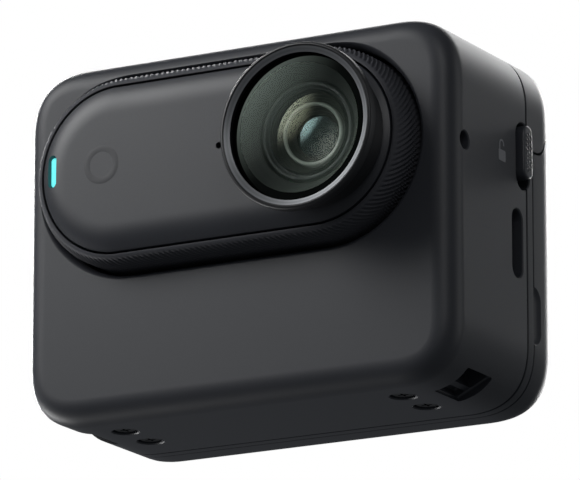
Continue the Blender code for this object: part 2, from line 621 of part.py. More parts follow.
def make_camera_inside(carrier):
    battery = loft([at_depth(rounded_rectangle(10.5 * MM, 8 * MM, 1.2 * MM, (-11.0 * MM, SPINE_Z), 2.0, 3), y * MM)
                    for y in (-13.6, -7.4)])
    piece("camera_battery", battery, (0.3, 0.31, 0.33), 0.4, 0.3, carrier)
    board = loft(module_rings([(9.0, -6.4), (9.0, -5.5)]))
    piece("camera_main_board", board, BOARD_GREEN, 0.4, carrier=carrier)
    magnet = turned([(0, -4.6 * MM), (7.0 * MM, -4.6 * MM), (7.0 * MM, -2.7 * MM), (0, -2.7 * MM)],
                    (11.0 * MM, SPINE_Z), 20)
    piece("camera_back_magnet", magnet, STEEL, 0.3, 1.0, carrier)
    switch = box((-15.6 * MM, -16.5 * MM, 30.8 * MM), (-11.6 * MM, -15.0 * MM, 34.0 * MM))
    piece("camera_button_switch", switch, STEEL, 0.35, 1.0, carrier)
    capsule = box((-1.2 * MM, -16.5 * MM, 31.9 * MM), (1.4 * MM, -15.4 * MM, 34.5 * MM))
    piece("camera_microphone", capsule, STEEL, 0.35, 1.0, carrier)


def make_lens(carrier):
    collar = turned([(7.0 * MM, -19.5 * MM), (8.2 * MM, -19.5 * MM), (8.2 * MM, -21.2 * MM), (7.0 * MM, -21.2 * MM)])
    piece("lens_mount_collar", collar, BLACK, 0.5, carrier=carrier)
    front = BARREL_FRONT_Y
    barrel_profile = [
        (BARREL_RADIUS, front + 0.3 * MM), (BARREL_RADIUS - 0.3 * MM, front), (5.9 * MM, front),
        (5.6 * MM, front + 0.5 * MM), (5.6 * MM, front + 4.2 * MM), (4.2 * MM, front + 4.2 * MM),
        (4.2 * MM, -9.6 * MM), (BARREL_RADIUS, -9.6 * MM),
    ]
    piece("lens_barrel", turned(barrel_profile), BLACK, 0.5, carrier=carrier)
    dome = [(0, -23.2 * MM), (1.6 * MM, -23.08 * MM), (3.1 * MM, -22.7 * MM), (4.3 * MM, -22.1 * MM),
            (5.3 * MM, -21.3 * MM), (5.3 * MM, -19.9 * MM), (3.6 * MM, -19.9 * MM), (2.8 * MM, -20.9 * MM),
            (0, -21.6 * MM)]
    piece("front_lens_element", turned(dome), LENS_GLASS, 0.03, carrier=carrier)
    stop = [(2.3 * MM, -19.5 * MM), (5.3 * MM, -19.5 * MM), (5.3 * MM, -18.4 * MM), (2.3 * MM, -18.4 * MM)]
    piece("aperture_ring", turned(stop), BLACK, 0.5, carrier=carrier)
    for name, near, far, bulge in (("second_lens_element", -16.4, -14.4, 0.7), ("third_lens_element", -13.0, -11.4, 0.5)):
        element = [(0, (near - bulge) * MM), (2.2 * MM, (near - bulge * 0.6) * MM), (3.9 * MM, near * MM),
                   (3.9 * MM, far * MM), (0, far * MM)]
        piece(name, turned(element, steps=20), LENS_GLASS, 0.03, carrier=carrier)
    sensor = box((LENS_X - 4.0 * MM, -8.9 * MM, LENS_Z - 3.2 * MM), (LENS_X + 4.0 * MM, -8.1 * MM, LENS_Z + 3.2 * MM))
    piece("image_sensor", sensor, (0.05, 0.06, 0.10), 0.15, carrier=carrier)
    board = box((LENS_X - 6 * MM, -7.8 * MM, LENS_Z - 6 * MM), (LENS_X + 6 * MM, -7.1 * MM, LENS_Z + 6 * MM))
    piece("sensor_board", board, BOARD_GREEN, 0.4, carrier=carrier)


def make_lens_guard(guard):
    front = GUARD_FRONT_Y
    profile = [
        (GUARD_RADIUS - 0.35 * MM, front), (GUARD_RADIUS, front + 0.4 * MM), (GUARD_RADIUS, front + 1.3 * MM),
        (GUARD_RADIUS - 0.5 * MM, front + 1.9 * MM), (GUARD_NECK_RADIUS, front + 3.6 * MM),
        (GUARD_NECK_RADIUS, FACE_Y - GAP), (GUARD_NECK_RADIUS - 0.8 * MM, FACE_Y - GAP),
        (GUARD_NECK_RADIUS - 0.8 * MM, -21.6 * MM), (6.75 * MM, -21.6 * MM), (6.75 * MM, -22.3 * MM),
        (9.2 * MM, -23.9 * MM), (9.2 * MM, -24.1 * MM), (GLASS_RADIUS + 0.15 * MM, -24.1 * MM),
        (GLASS_RADIUS + 0.15 * MM, -24.9 * MM),
    ]
    piece("lens_guard_ring", turned(profile, steps=32), BLACK, 0.4, carrier=guard)
    glass = [(0, -24.9 * MM), (GLASS_RADIUS - 0.2 * MM, -24.9 * MM), (GLASS_RADIUS - 0.1 * MM, -24.8 * MM),
             (GLASS_RADIUS - 0.1 * MM, -24.35 * MM), (0, -24.35 * MM)]
    piece("lens_guard_glass", turned(glass, steps=32), LENS_GLASS, 0.02, carrier=guard)


def main():
    clear_scene()
    make_front_shell()
    make_mid_frame()
    make_cradle()
    make_pod_electronics()
    make_base_fixings()
    make_keys()
    make_release()
    make_screen()
    camera = joint_origin("camera_slide_axis", (SPINE_X, MODULE_BACK_Y, SPINE_Z))
    make_camera_body(camera)
    make_camera_inside(camera)
    make_lens(camera)
    make_lens_guard(joint_origin("lens_guard_axis", (LENS_X, FACE_Y, LENS_Z)))


main()
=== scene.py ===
import math

import bpy
from mathutils import Matrix, Vector


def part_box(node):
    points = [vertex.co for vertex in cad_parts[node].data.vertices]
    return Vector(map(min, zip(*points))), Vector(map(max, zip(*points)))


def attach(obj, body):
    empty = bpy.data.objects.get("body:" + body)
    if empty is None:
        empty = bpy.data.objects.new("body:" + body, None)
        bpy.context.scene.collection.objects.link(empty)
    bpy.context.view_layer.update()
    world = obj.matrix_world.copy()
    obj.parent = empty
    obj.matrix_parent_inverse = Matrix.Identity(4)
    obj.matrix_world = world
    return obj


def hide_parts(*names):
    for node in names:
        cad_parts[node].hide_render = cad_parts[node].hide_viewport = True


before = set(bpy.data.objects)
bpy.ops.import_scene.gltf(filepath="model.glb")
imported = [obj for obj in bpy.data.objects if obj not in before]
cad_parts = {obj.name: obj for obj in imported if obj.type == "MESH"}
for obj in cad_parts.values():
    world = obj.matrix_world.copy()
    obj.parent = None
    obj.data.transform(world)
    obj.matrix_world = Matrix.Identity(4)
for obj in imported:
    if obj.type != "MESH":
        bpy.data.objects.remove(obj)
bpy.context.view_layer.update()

MM = 0.001

# ==================== The pod's front shell
# The front shell is the main outer moulding of the pod: charcoal polycarbonate, about 1.6 mm thick, with a
# spark-eroded mould texture. The camera's pocket, the keys, the ports and the base recesses open through it.

CORNER_RADIUS = 9.2 * MM
CORNER_PROFILE = 0.598  # a superellipse of exponent 2.7
FRONT_EDGE = 3.2 * MM
REAR_EDGE = 4.0 * MM
EDGE_PROFILE = 0.547  # a superellipse of exponent 2.3
WALL = 1.6 * MM
FRONT_WALL = 1.8 * MM
SEAM_CHAMFER = 0.14 * MM
RIM_CHAMFER = 0.15 * MM
CLOSE = 0.01 * MM


def select_only(piece):
    """Leaves edit mode, with one piece selected and active."""
    if bpy.context.mode != "OBJECT":
        bpy.ops.object.mode_set(mode="OBJECT")
    bpy.ops.object.select_all(action="DESELECT")
    piece.select_set(True)
    bpy.context.view_layer.objects.active = piece


def settle(name):
    """Names the shape just added, and puts its place, turn and size into its mesh."""
    piece = bpy.context.object
    piece.name = name
    piece.data.name = name
    bpy.ops.object.transform_apply(location=True, rotation=True, scale=True)
    return piece


def block(name, low, high, turned=(0, 0, 0)):
    """A box between two corners, turned about its own middle."""
    low = Vector(low)
    high = Vector(high)
    bpy.ops.mesh.primitive_cube_add(size=1, location=(low + high) / 2, rotation=turned, scale=high - low)
    return settle(name)


def choose(piece, kind, wanted):
    """Opens a piece for editing, with only its wanted points, edges or faces selected.

    wanted is asked with a point's place, with an edge's two ends, or with a face's middle and normal.
    """
    select_only(piece)
    mesh = piece.data
    for parts in (mesh.vertices, mesh.edges, mesh.polygons):
        parts.foreach_set("select", [False] * len(parts))
    if kind == "VERT":
        for point in mesh.vertices:
            point.select = wanted(point.co)
    elif kind == "EDGE":
        for edge in mesh.edges:
            first, last = edge.vertices
            edge.select = wanted(mesh.vertices[first].co, mesh.vertices[last].co)
    else:
        for face in mesh.polygons:
            face.select = wanted(face.center, face.normal)
    bpy.context.tool_settings.mesh_select_mode = (kind == "VERT", kind == "EDGE", kind == "FACE")
    bpy.ops.object.mode_set(mode="EDIT")


def leave():
    bpy.ops.object.mode_set(mode="OBJECT")


def at_level(axis, place):
    """A test for edges that lie at one place on an axis."""
    return lambda start, end: abs(start[axis] - place) < CLOSE and abs(end[axis] - place) < CLOSE


def runs_along(axis):
    """A test for edges that run straight along an axis."""
    return lambda start, end: abs(end[axis] - start[axis]) > 0.999 * (end - start).length


def round_off(piece, wanted, radius, steps, profile=0.5):
    """Bevels the wanted edges."""
    choose(piece, "EDGE", wanted)
    bpy.ops.mesh.bevel(offset=radius, segments=steps, profile=profile, affect="EDGES", clamp_overlap=False)
    leave()


def slice_off(piece, place, direction):
    """Cuts a piece at a plane, and throws away the side that the direction points to."""
    choose(piece, "FACE", lambda middle, normal: True)
    bpy.ops.mesh.bisect(plane_co=place, plane_no=direction, use_fill=True, clear_outer=True)
    leave()


def combine(piece, other, operation="DIFFERENCE"):
    """Cuts a piece with another shape, or joins the two, and throws the other away."""
    select_only(piece)
    bpy.ops.object.modifier_add(type="BOOLEAN")
    change = piece.modifiers[-1]
    change.operation = operation
    change.solver = "EXACT"
    change.object = other
    bpy.ops.object.modifier_apply(modifier=change.name)
    bpy.data.objects.remove(other)


QUARTER = math.pi / 2
RING_TURN = {"X": (QUARTER, 0, QUARTER), "Y": (QUARTER, QUARTER, 0), "Z": (0, 0, 0)}
STRETCH_AXIS = {"X": 2, "Y": 0, "Z": 1}


def turn(name, axis, centre, profile, stretch=0.0, steps=94, ring=False):
    """A shape turned about a line along X, Y or Z, from (radius, place along the line) points.

    A last radius of zero makes a pole, and other ends are closed flat. A ring joins its last point to its
    first.
    stretch then parts the two halves, which draws the round shape out into a slot shape.
    """
    along = "XYZ".index(axis)
    centre = Vector(centre)
    start = centre.copy()
    start[along] = profile[0][1]
    bpy.ops.mesh.primitive_circle_add(
        vertices=steps, radius=profile[0][0], location=start, rotation=RING_TURN[axis])
    piece = settle(name)
    choose(piece, "VERT", lambda place: True)
    if ring:
        profile = [*profile, profile[0]]
    for (near, here), (far, there) in zip(profile, profile[1:]):
        shift = Vector((0, 0, 0))
        shift[along] = there - here
        growth = Vector((far / near, far / near, far / near))
        growth[along] = 1.0
        bpy.ops.mesh.extrude_region_move(TRANSFORM_OT_translate={"value": shift})
        if far == 0:
            bpy.ops.mesh.merge(type="CENTER")
        elif far != near:
            bpy.ops.transform.resize(value=growth, center_override=centre)
    if stretch:
        reach = STRETCH_AXIS[axis]
        for side in (1, -1):
            choose(piece, "VERT", lambda place: side * (place[reach] - centre[reach]) > 0)
            shift = Vector((0, 0, 0))
            shift[reach] = side * stretch
            bpy.ops.transform.translate(value=shift)
    choose(piece, "VERT", lambda place: True)
    if ring:
        bpy.ops.mesh.remove_doubles(threshold=CLOSE / 20)
    else:
        bpy.ops.mesh.fill_holes(sides=0)
    bpy.ops.mesh.select_all(action="SELECT")
    bpy.ops.mesh.normals_make_consistent(inside=False)
    leave()
    return piece


def arc(middle, reach, start, end, steps):
    """(radius, place) points along part of an ellipse, between two angles in degrees."""
    points = []
    for step in range(steps + 1):
        angle = math.radians(start + (end - start) * step / steps)
        points.append((middle[0] + reach[0] * math.cos(angle), middle[1] + reach[1] * math.sin(angle)))
    return points


def smooth(piece, angle=30):
    """Shades a finished piece smooth, and keeps its flats flat beside soft edges."""
    select_only(piece)
    bpy.ops.object.shade_smooth_by_angle(angle=math.radians(angle))
    bpy.ops.object.modifier_add(type="WEIGHTED_NORMAL")
    piece.modifiers[-1].weight = 100
    piece.modifiers[-1].keep_sharp = True
    bpy.ops.object.modifier_apply(modifier=piece.modifiers[-1].name)


def opening(axis, centre, radius, inner, surface, stretch=0.0):
    """A cutter for a round or slot-shaped hole, from inside to a flat surface, with a chamfered rim."""
    outward = math.copysign(1, surface - inner)
    profile = [
        (radius, inner),
        (radius, surface - outward * RIM_CHAMFER),
        (radius + 8 * RIM_CHAMFER, surface + outward * 7 * RIM_CHAMFER),
    ]
    return turn("opening", axis, centre, profile, stretch, 46)


pod_low, pod_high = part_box("pod_front_shell")
shell_seam_y = pod_high.y
pod_high.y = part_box("screen_housing")[1].y


def pod_form(name):
    """The pod's whole outer form: a block with softened upright corners and rounded front and rear edges."""
    form = block(name, pod_low, pod_high)
    round_off(form, runs_along(1), CORNER_RADIUS, 24, CORNER_PROFILE)
    round_off(form, at_level(1, pod_low.y), FRONT_EDGE, 8, EDGE_PROFILE)
    round_off(form, at_level(1, pod_high.y), REAR_EDGE, 10, EDGE_PROFILE)
    return form


front_shell = pod_form("front_shell_moulding")
slice_off(front_shell, (0, shell_seam_y, 0), (0, 1, 0))
round_off(front_shell, at_level(1, shell_seam_y), SEAM_CHAMFER, 2)
inner_low = pod_low + Vector((WALL, FRONT_WALL, WALL))
inner_high = Vector((pod_high.x - WALL, shell_seam_y + 2 * MM, pod_high.z - WALL))
hollow = block("hollow", inner_low, inner_high)
round_off(hollow, runs_along(1), CORNER_RADIUS - WALL, 12, CORNER_PROFILE)
combine(front_shell, hollow)

# The pocket's mouth is a slot shape, 0.45 mm larger all round than the camera, and its lip rolls outwards.
module_low, module_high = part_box("camera_body_shell")
spine = (module_low + module_high) / 2
module_radius = (module_high.z - module_low.z) / 2
module_half = (module_high.x - module_low.x) / 2 - module_radius
pocket_radius = module_radius + 0.45 * MM
LIP_WIDTH = 0.85 * MM
LIP_DEPTH = 1.45 * MM
lip = arc((pocket_radius + LIP_WIDTH, pod_low.y + LIP_DEPTH), (LIP_WIDTH, LIP_DEPTH), 180, 260, 10)
lip_end = (lip[-1][0] + 2 * LIP_WIDTH, lip[-1][1] - 0.3 * LIP_DEPTH)
pocket_profile = [(pocket_radius, inner_low.y + MM), *lip, lip_end]
combine(front_shell, turn("pocket", "Y", spine, pocket_profile, module_half, 126))

# Each lower corner has a sloping recess with a bar across it, for a strap or a clip, set in a solid boss.
RECESS_X = 27.75 * MM
RECESS_Y = -4.3 * MM
RECESS_Z = 1.35 * MM
RECESS_SLOPE = math.radians(27)
BOSS_LOW = (23.6 * MM, -9.0 * MM, 1.0 * MM)
BOSS_HIGH = (30.4 * MM, 0.4 * MM, 6.8 * MM)
BOSS_CORNER = (26.0 * MM, 0, 1.0 * MM)
BOSS_CORNER_NORMAL = (3.3, 0, -4.4)
RECESS_CUTS = (
    (-2.75 * MM, 2.75 * MM, 0.7 * MM, 3.4 * MM),  # a shallow tray
    (-0.5 * MM, 2.65 * MM, 3.6 * MM, 3.25 * MM),  # a deep pit above the bar
    (-2.6 * MM, -1.3 * MM, 1.7 * MM, 3.15 * MM),  # a groove below the bar
)
for side in (1, -1):
    boss_x = sorted((side * BOSS_LOW[0], side * BOSS_HIGH[0]))
    boss = block("boss", (boss_x[0], *BOSS_LOW[1:]), (boss_x[1], *BOSS_HIGH[1:]))
    normal = (side * BOSS_CORNER_NORMAL[0], 0, BOSS_CORNER_NORMAL[2])
    slice_off(boss, (side * BOSS_CORNER[0], 0, BOSS_CORNER[2]), normal)
    combine(front_shell, boss, "UNION")
    for low, high, depth, half_length in RECESS_CUTS:
        middle = (low + high) / 2
        level = (depth - 3 * MM) / 2
        x = RECESS_X + middle * math.cos(RECESS_SLOPE) - level * math.sin(RECESS_SLOPE)
        z = RECESS_Z + middle * math.sin(RECESS_SLOPE) + level * math.cos(RECESS_SLOPE)
        half = Vector((high - low, 2 * half_length, depth + 3 * MM)) / 2
        place = Vector((side * x, RECESS_Y, z))
        cutter = block("recess", place - half, place + half, (0, -side * RECESS_SLOPE, 0))
        round_off(cutter, lambda start, end: True, 0.35 * MM, 3)
        combine(front_shell, cutter)

# Four counterbored screw holes pass through the base, two on each side.
COUNTERBORE_RADIUS = 1.75 * MM
COUNTERBORE_TOP = 1.15 * MM
SHANK_HOLE = [(1.05 * MM, 0.5 * MM), (1.05 * MM, 3 * MM)]


def middle_of(node_name):
    low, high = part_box(node_name)
    return (low + high) / 2


screw_places = [middle_of("base_screw_" + str(number)) for number in (1, 2, 3, 4)]
for place in screw_places:
    combine(front_shell, opening("Z", place, COUNTERBORE_RADIUS, COUNTERBORE_TOP, pod_low.z))
    combine(front_shell, turn("screw_hole", "Z", place, SHANK_HOLE, steps=30))

# The keys, the release slider, the USB port, the microphone and the speaker open through the top and sides.
right = pod_high.x
left = pod_low.x
top = pod_high.z
GAP = 0.3 * MM
DEEP = 3 * MM
shutter_low, shutter_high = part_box("shutter_button")
shutter_radius = (shutter_high.y - shutter_low.y) / 2
shutter_centre = Vector((shutter_low.x + shutter_radius, (shutter_low.y + shutter_high.y) / 2, top))
combine(front_shell, opening("Z", shutter_centre, shutter_radius + GAP, top - DEEP, top))

key_low, key_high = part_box("power_button")
key_radius = (key_high.y - key_low.y) / 2
key_stretch = (key_high.z - key_low.z) / 2 - key_radius
for key in ("power_button", "quick_menu_button"):
    combine(front_shell, opening("X", middle_of(key), key_radius + GAP, left + DEEP, left, key_stretch))

SLIDER_Y = 5.1 * MM
SLIDER_Z = 33.75 * MM
TRACK_Z = 33.3 * MM
TRACK_RADIUS = 1.85 * MM
TRACK_STRETCH = 4.5 * MM - TRACK_RADIUS


def slider_track():
    inner = right - WALL - 0.1 * MM
    return opening("X", (0, SLIDER_Y, TRACK_Z), TRACK_RADIUS, inner, right, TRACK_STRETCH)


combine(front_shell, slider_track())
usb_centre = middle_of("usb_c_receptacle")
USB_RADIUS = 1.45 * MM
USB_STRETCH = 4.6 * MM - USB_RADIUS
combine(front_shell, opening("X", usb_centre, USB_RADIUS, right - DEEP, right, USB_STRETCH))
MIC_Y = -11.1 * MM
mic_centre = Vector((0, MIC_Y, middle_of("pod_microphone").z))
combine(front_shell, opening("X", mic_centre, 1.2 * MM, right - DEEP, right))
speaker_centre = middle_of("pod_speaker")
SPEAKER_PITCH = 1.05 * MM
for number in range(4):
    hole_y = speaker_centre.y + (number - 1.5) * SPEAKER_PITCH
    combine(front_shell, opening("X", (0, hole_y, speaker_centre.z), 0.4 * MM, left + DEEP, left))

# The hinge's round barrel turns in a slot across the top and rear of the pod.
arm_low, arm_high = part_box("screen_hinge_arm")
HINGE_RADIUS = 4.55 * MM
HINGE_Y = pod_high.y - HINGE_RADIUS
HINGE_Z = pod_high.z - HINGE_RADIUS
CHEEK_INNER_X = 22.3 * MM
SLOT_GAP = 0.35 * MM


def hinge_slot():
    reach = HINGE_RADIUS + SLOT_GAP
    low = (-CHEEK_INNER_X, HINGE_Y - reach, HINGE_Z - reach)
    return block("hinge_slot", low, (CHEEK_INNER_X, pod_high.y + DEEP, top + DEEP))


combine(front_shell, hinge_slot())
smooth(front_shell)


def colour(code):
    """An sRGB hex colour as the linear values that a shader takes."""
    parts = [int(code[place:place + 2], 16) / 255 for place in (1, 3, 5)]
    return (*[part / 12.92 if part <= 0.04045 else ((part + 0.055) / 1.055) ** 2.4 for part in parts], 1.0)


def new_material(name):
    material = bpy.data.materials.new(name)
    material.use_nodes = True
    material.node_tree.nodes.clear()
    return material


def node(owner, kind, sockets=None, **settings):
    """Adds a node with its settings, and with its sockets given as values or as links from other nodes."""
    made = owner.node_tree.nodes.new("ShaderNode" + kind)
    for name, value in settings.items():
        setattr(made, name, value)
    for name, value in (sockets or {}).items():
        if isinstance(value, bpy.types.NodeSocket):
            owner.node_tree.links.new(value, made.inputs[name])
        else:
            made.inputs[name].default_value = value
    return made


def repeats(size):
    """The scale of a pattern whose features are of a real size."""
    return 1 / size


def dress(piece, material):
    """Gives a new piece its one material."""
    piece.data.materials.clear()
    piece.data.materials.append(material)


# Moulded polycarbonate with a spark-eroded texture: matt, with a faint grain of about 0.1 mm that is drawn at
# 0.25 mm so that it shows, and a slow drift of tone and gloss over some 15 mm from the mould's flow.
shell_plastic = new_material("spark_textured_polycarbonate")
position = node(shell_plastic, "TexCoord").outputs["Object"]
drift = node(shell_plastic, "TexNoise", {"Vector": position, "Scale": repeats(15 * MM), "Detail": 2.0})
grain = node(shell_plastic, "TexNoise", {"Vector": position, "Scale": repeats(0.25 * MM), "Detail": 3.0})
tone = node(shell_plastic, "Mix", {0: drift.outputs["Fac"], 6: colour("#33353b"), 7: colour("#37393f")},
            data_type="RGBA")
speckle = node(shell_plastic, "Mix", {0: grain.outputs["Fac"], 6: tone.outputs[2], 7: colour("#3a3c42")},
               data_type="RGBA")
gloss = node(shell_plastic, "MapRange", {"Value": drift.outputs["Fac"], "To Min": 0.44, "To Max": 0.50})
relief = node(shell_plastic, "Bump", {
    "Height": grain.outputs["Fac"], "Strength": 0.12, "Distance": 0.03 * MM})
shader = node(shell_plastic, "BsdfPrincipled", {
    "Base Color": speckle.outputs[2], "Roughness": gloss.outputs["Result"], "IOR": 1.58,
    "Normal": relief.outputs["Normal"]})
node(shell_plastic, "OutputMaterial", {"Surface": shader.outputs["BSDF"]})

dress(front_shell, shell_plastic)
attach(front_shell, "pod")
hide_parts("pod_front_shell")

# ==================== The camera cradle
# The cradle is the black ABS cup that lines the pocket. It is clipped behind the shell's mouth, and it
# carries the sprung charging pins, the two magnets and the window for the latch's hook.

cradle_low, cradle_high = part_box("camera_cradle")
cradle_radius = (cradle_high.z - cradle_low.z) / 2
floor_y = module_high.y + 0.4 * MM
cradle = turn("pocket_cradle", "Y", spine, [(cradle_radius, cradle_low.y), (cradle_radius, cradle_high.y)],
              module_half)
cup = [(pocket_radius + 0.01 * MM, cradle_low.y - MM), (pocket_radius + 0.01 * MM, floor_y)]
combine(cradle, turn("cup", "Y", spine, cup, module_half))
POGO_WINDOW = ((-12 * MM, 25.6 * MM), (-3 * MM, 29.2 * MM))
LATCH_WINDOW = ((21.6 * MM, 31.6 * MM), (24.6 * MM, 34.8 * MM))
for window, (low, high) in (("pogo_window", POGO_WINDOW), ("latch_window", LATCH_WINDOW)):
    combine(cradle, block(window, (low[0], floor_y - MM, low[1]), (high[0], cradle_high.y + MM, high[1])))
smooth(cradle)


def shade(material, pattern, shades, gloss, settings, relief=()):
    """Ends a material in one shader that follows a pattern.

    The pattern blends two shades or two roughnesses, and one alone is even. relief is (strength, height).
    """
    sockets = {"Base Color": colour(shades[0]), "Roughness": gloss[0], **settings}
    if len(shades) > 1:
        tone = node(material, "Mix", {0: pattern, 6: colour(shades[0]), 7: colour(shades[1])},
                    data_type="RGBA")
        sockets["Base Color"] = tone.outputs[2]
    if len(gloss) > 1:
        roughness = node(material, "MapRange", {"Value": pattern, "To Min": gloss[0], "To Max": gloss[1]})
        sockets["Roughness"] = roughness.outputs["Result"]
    if relief:
        bump = node(material, "Bump", {"Height": pattern, "Strength": relief[0], "Distance": relief[1]})
        sockets["Normal"] = bump.outputs["Normal"]
    shader = node(material, "BsdfPrincipled", sockets)
    node(material, "OutputMaterial", {"Surface": shader.outputs["BSDF"]})


def grained(name, size, detail, shades, gloss, settings, relief=()):
    """A material that follows a cloudy grain of a real size."""
    material = new_material(name)
    position = node(material, "TexCoord").outputs["Object"]
    grain = node(material, "TexNoise", {"Vector": position, "Scale": repeats(size), "Detail": detail})
    shade(material, grain.outputs["Fac"], shades, gloss, settings, relief)
    return material


# Unpainted black ABS: even and dull, with a fine 0.2 mm moulded grain.
black_abs = grained("moulded_black_abs", 0.2 * MM, 2.0, ("#0d0d0e", "#151516"), (0.5, 0.62), {"IOR": 1.53},
                    (0.15, 0.03 * MM))

dress(cradle, black_abs)
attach(cradle, "pod")
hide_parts("camera_cradle")


def finish_nodes(material, *names):
    """Gives modelled parts that keep their shape a better material."""
    for name in names:
        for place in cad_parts[name].material_slots:
            place.material = material


# ==================== The pod's mid frame
# The mid frame is the second outer moulding, between the front shell and the screen. Its two cheeks rise
# beside the hinge barrel and hold the hinge pins, and a trough behind them closes the hinge's slot.

mid_front_y = shell_seam_y + GAP
screen_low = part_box("screen_housing")[0]
HALF_GAP = GAP / 2
screen_seam_y = screen_low.y - HALF_GAP
TURN_Y = 9.0 * MM
TURN_RADIUS = 2.6 * MM
LEVEL_Z = 34.6 * MM
SWEEP_RADIUS = 6.75 * MM


def hinge_edge(offset):
    """(y, z) points of the line between cheeks and screen panel: level, then up, then round the hinge."""
    points = [(screen_seam_y - MM, LEVEL_Z - offset)]
    for step in range(13):
        angle = math.radians(70 * step / 12)
        reach = TURN_RADIUS + offset
        points.append((TURN_Y + reach * math.sin(angle), LEVEL_Z + TURN_RADIUS - reach * math.cos(angle)))
    for step in range(13):
        angle = math.radians(15 + 3 * step)
        reach = SWEEP_RADIUS + offset
        points.append((HINGE_Y + reach * math.sin(angle), HINGE_Z - reach * math.cos(angle)))
    return points


def drawn(name, outline, low_x, high_x):
    """A bar along X: a point is extruded round its (y, z) outline, which is filled and drawn out."""
    bpy.ops.mesh.primitive_plane_add(size=MM, location=(low_x, *outline[0]))
    piece = settle(name)
    choose(piece, "VERT", lambda place: True)
    bpy.ops.mesh.merge(type="CENTER")
    for here, there in zip(outline, outline[1:]):
        shift = (0, there[0] - here[0], there[1] - here[1])
        bpy.ops.mesh.extrude_region_move(TRANSFORM_OT_translate={"value": shift})
    bpy.ops.mesh.select_all(action="SELECT")
    bpy.ops.mesh.edge_face_add()
    bpy.ops.mesh.extrude_region_move(TRANSFORM_OT_translate={"value": (high_x - low_x, 0, 0)})
    bpy.ops.mesh.select_all(action="SELECT")
    bpy.ops.mesh.normals_make_consistent(inside=False)
    leave()
    return piece


mid_frame = pod_form("mid_frame_moulding")
slice_off(mid_frame, (0, mid_front_y, 0), (0, -1, 0))
round_off(mid_frame, at_level(1, mid_front_y), SEAM_CHAMFER, 2)
front_y = screen_seam_y - HALF_GAP
beyond = pod_high.y + DEEP
cheek_line = [point for point in hinge_edge(-HALF_GAP) if point[0] > front_y]
space = [(front_y, -DEEP), (beyond, -DEEP), (beyond, cheek_line[-1][1]), *reversed(cheek_line),
         (front_y, cheek_line[0][1])]
combine(mid_frame, drawn("screen_space", space, left - MM, right + MM))
TROUGH_HALF = 23.6 * MM
for part, low, high in (
    ("trough", (-TROUGH_HALF, 3.9 * MM, 37.4 * MM), (TROUGH_HALF, 7.2 * MM, 46.1 * MM)),
    ("spring_seat", (25.5 * MM, 3.7 * MM, 26.6 * MM), (27.7 * MM, 7.2 * MM, 27.3 * MM)),
):
    combine(mid_frame, block(part, low, high), "UNION")
combine(mid_frame, hinge_slot())
ARM_SPACE_Z = 34.2 * MM
combine(mid_frame, block("arm_space", (-CHEEK_INNER_X, front_y + 2 * CLOSE, ARM_SPACE_Z),
                         (CHEEK_INNER_X, pod_high.y + MM, HINGE_Z)))
pin_low, pin_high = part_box("hinge_pin_right")
bore_radius = (pin_high.z - pin_low.z) / 2 + 0.1 * MM
for side in (1, -1):
    bore = [(bore_radius, side * 20 * MM), (bore_radius, side * 29.4 * MM)]
    combine(mid_frame, turn("pin_bore", "X", (0, HINGE_Y, HINGE_Z), bore, steps=30))
combine(mid_frame, slider_track())
smooth(mid_frame)
dress(mid_frame, shell_plastic)
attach(mid_frame, "pod")
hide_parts("pod_mid_frame")

# ==================== The hinge arm and pins
# The arm is one moulding: a round barrel along the pod's top rear edge, and a foot that screws to the
# screen. It turns on two ground steel pins that are pressed into the cheeks.

barrel = arc((HINGE_Y, HINGE_Z), (HINGE_RADIUS, HINGE_RADIUS), 200, -10, 30)
foot_front = screen_seam_y + 0.4 * MM
foot = [point for point in hinge_edge(HALF_GAP - 2 * CLOSE) if foot_front < point[0] < pod_high.y - GAP]
arm_front = screen_seam_y + 0.35 * MM
arm_outline = [*barrel, (pod_high.y - 0.02 * MM, HINGE_Z - 4.2 * MM), *reversed(foot),
               (arm_front, foot[0][1]), (arm_front, HINGE_Z - 3.6 * MM)]
hinge_arm = drawn("hinge_arm_moulding", arm_outline, arm_low.x, arm_high.x)
for end_x in (arm_low.x, arm_high.x):
    round_off(hinge_arm, at_level(0, end_x), 0.2 * MM, 2)
for side in (1, -1):
    bore = [(bore_radius, side * 16.6 * MM), (bore_radius, side * 23 * MM)]
    combine(hinge_arm, turn("barrel_bore", "X", (0, HINGE_Y, HINGE_Z), bore, steps=30))
smooth(hinge_arm)
dress(hinge_arm, shell_plastic)
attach(hinge_arm, "screen")
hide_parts("screen_hinge_arm")

# Ground and pressed steel: bright, with fine lines about 0.15 mm apart along X from grinding.
steel = new_material("ground_stainless_steel")
position = node(steel, "TexCoord").outputs["Object"]
lay = node(steel, "Mapping", {"Vector": position, "Scale": (0.05, 1.0, 1.0)})
lines = node(steel, "TexNoise", {"Vector": lay.outputs["Vector"], "Scale": repeats(0.15 * MM), "Detail": 2.0})
shade(steel, lines.outputs["Fac"], ("#8d8f92", "#b9bbbe"), (0.22, 0.38), {"Metallic": 1.0})
finish_nodes(steel, "hinge_pin_left", "hinge_pin_right")

# ==================== The screen
# The flip-up screen is a charcoal back cover with a black cover glass bonded flush in its rear face. The
# display and its board lie between them, and a finger notch in the right side lifts it.

screen = pod_form("screen_panel_moulding")
slice_off(screen, (0, screen_low.y, 0), (0, -1, 0))
round_off(screen, at_level(1, screen_low.y), SEAM_CHAMFER, 2)
panel_line = hinge_edge(HALF_GAP)
above = top + DEEP
space = [(panel_line[0][0], above), *panel_line, (beyond, panel_line[-1][1]), (beyond, above)]
combine(screen, drawn("cheek_space", space, left - MM, right + MM))

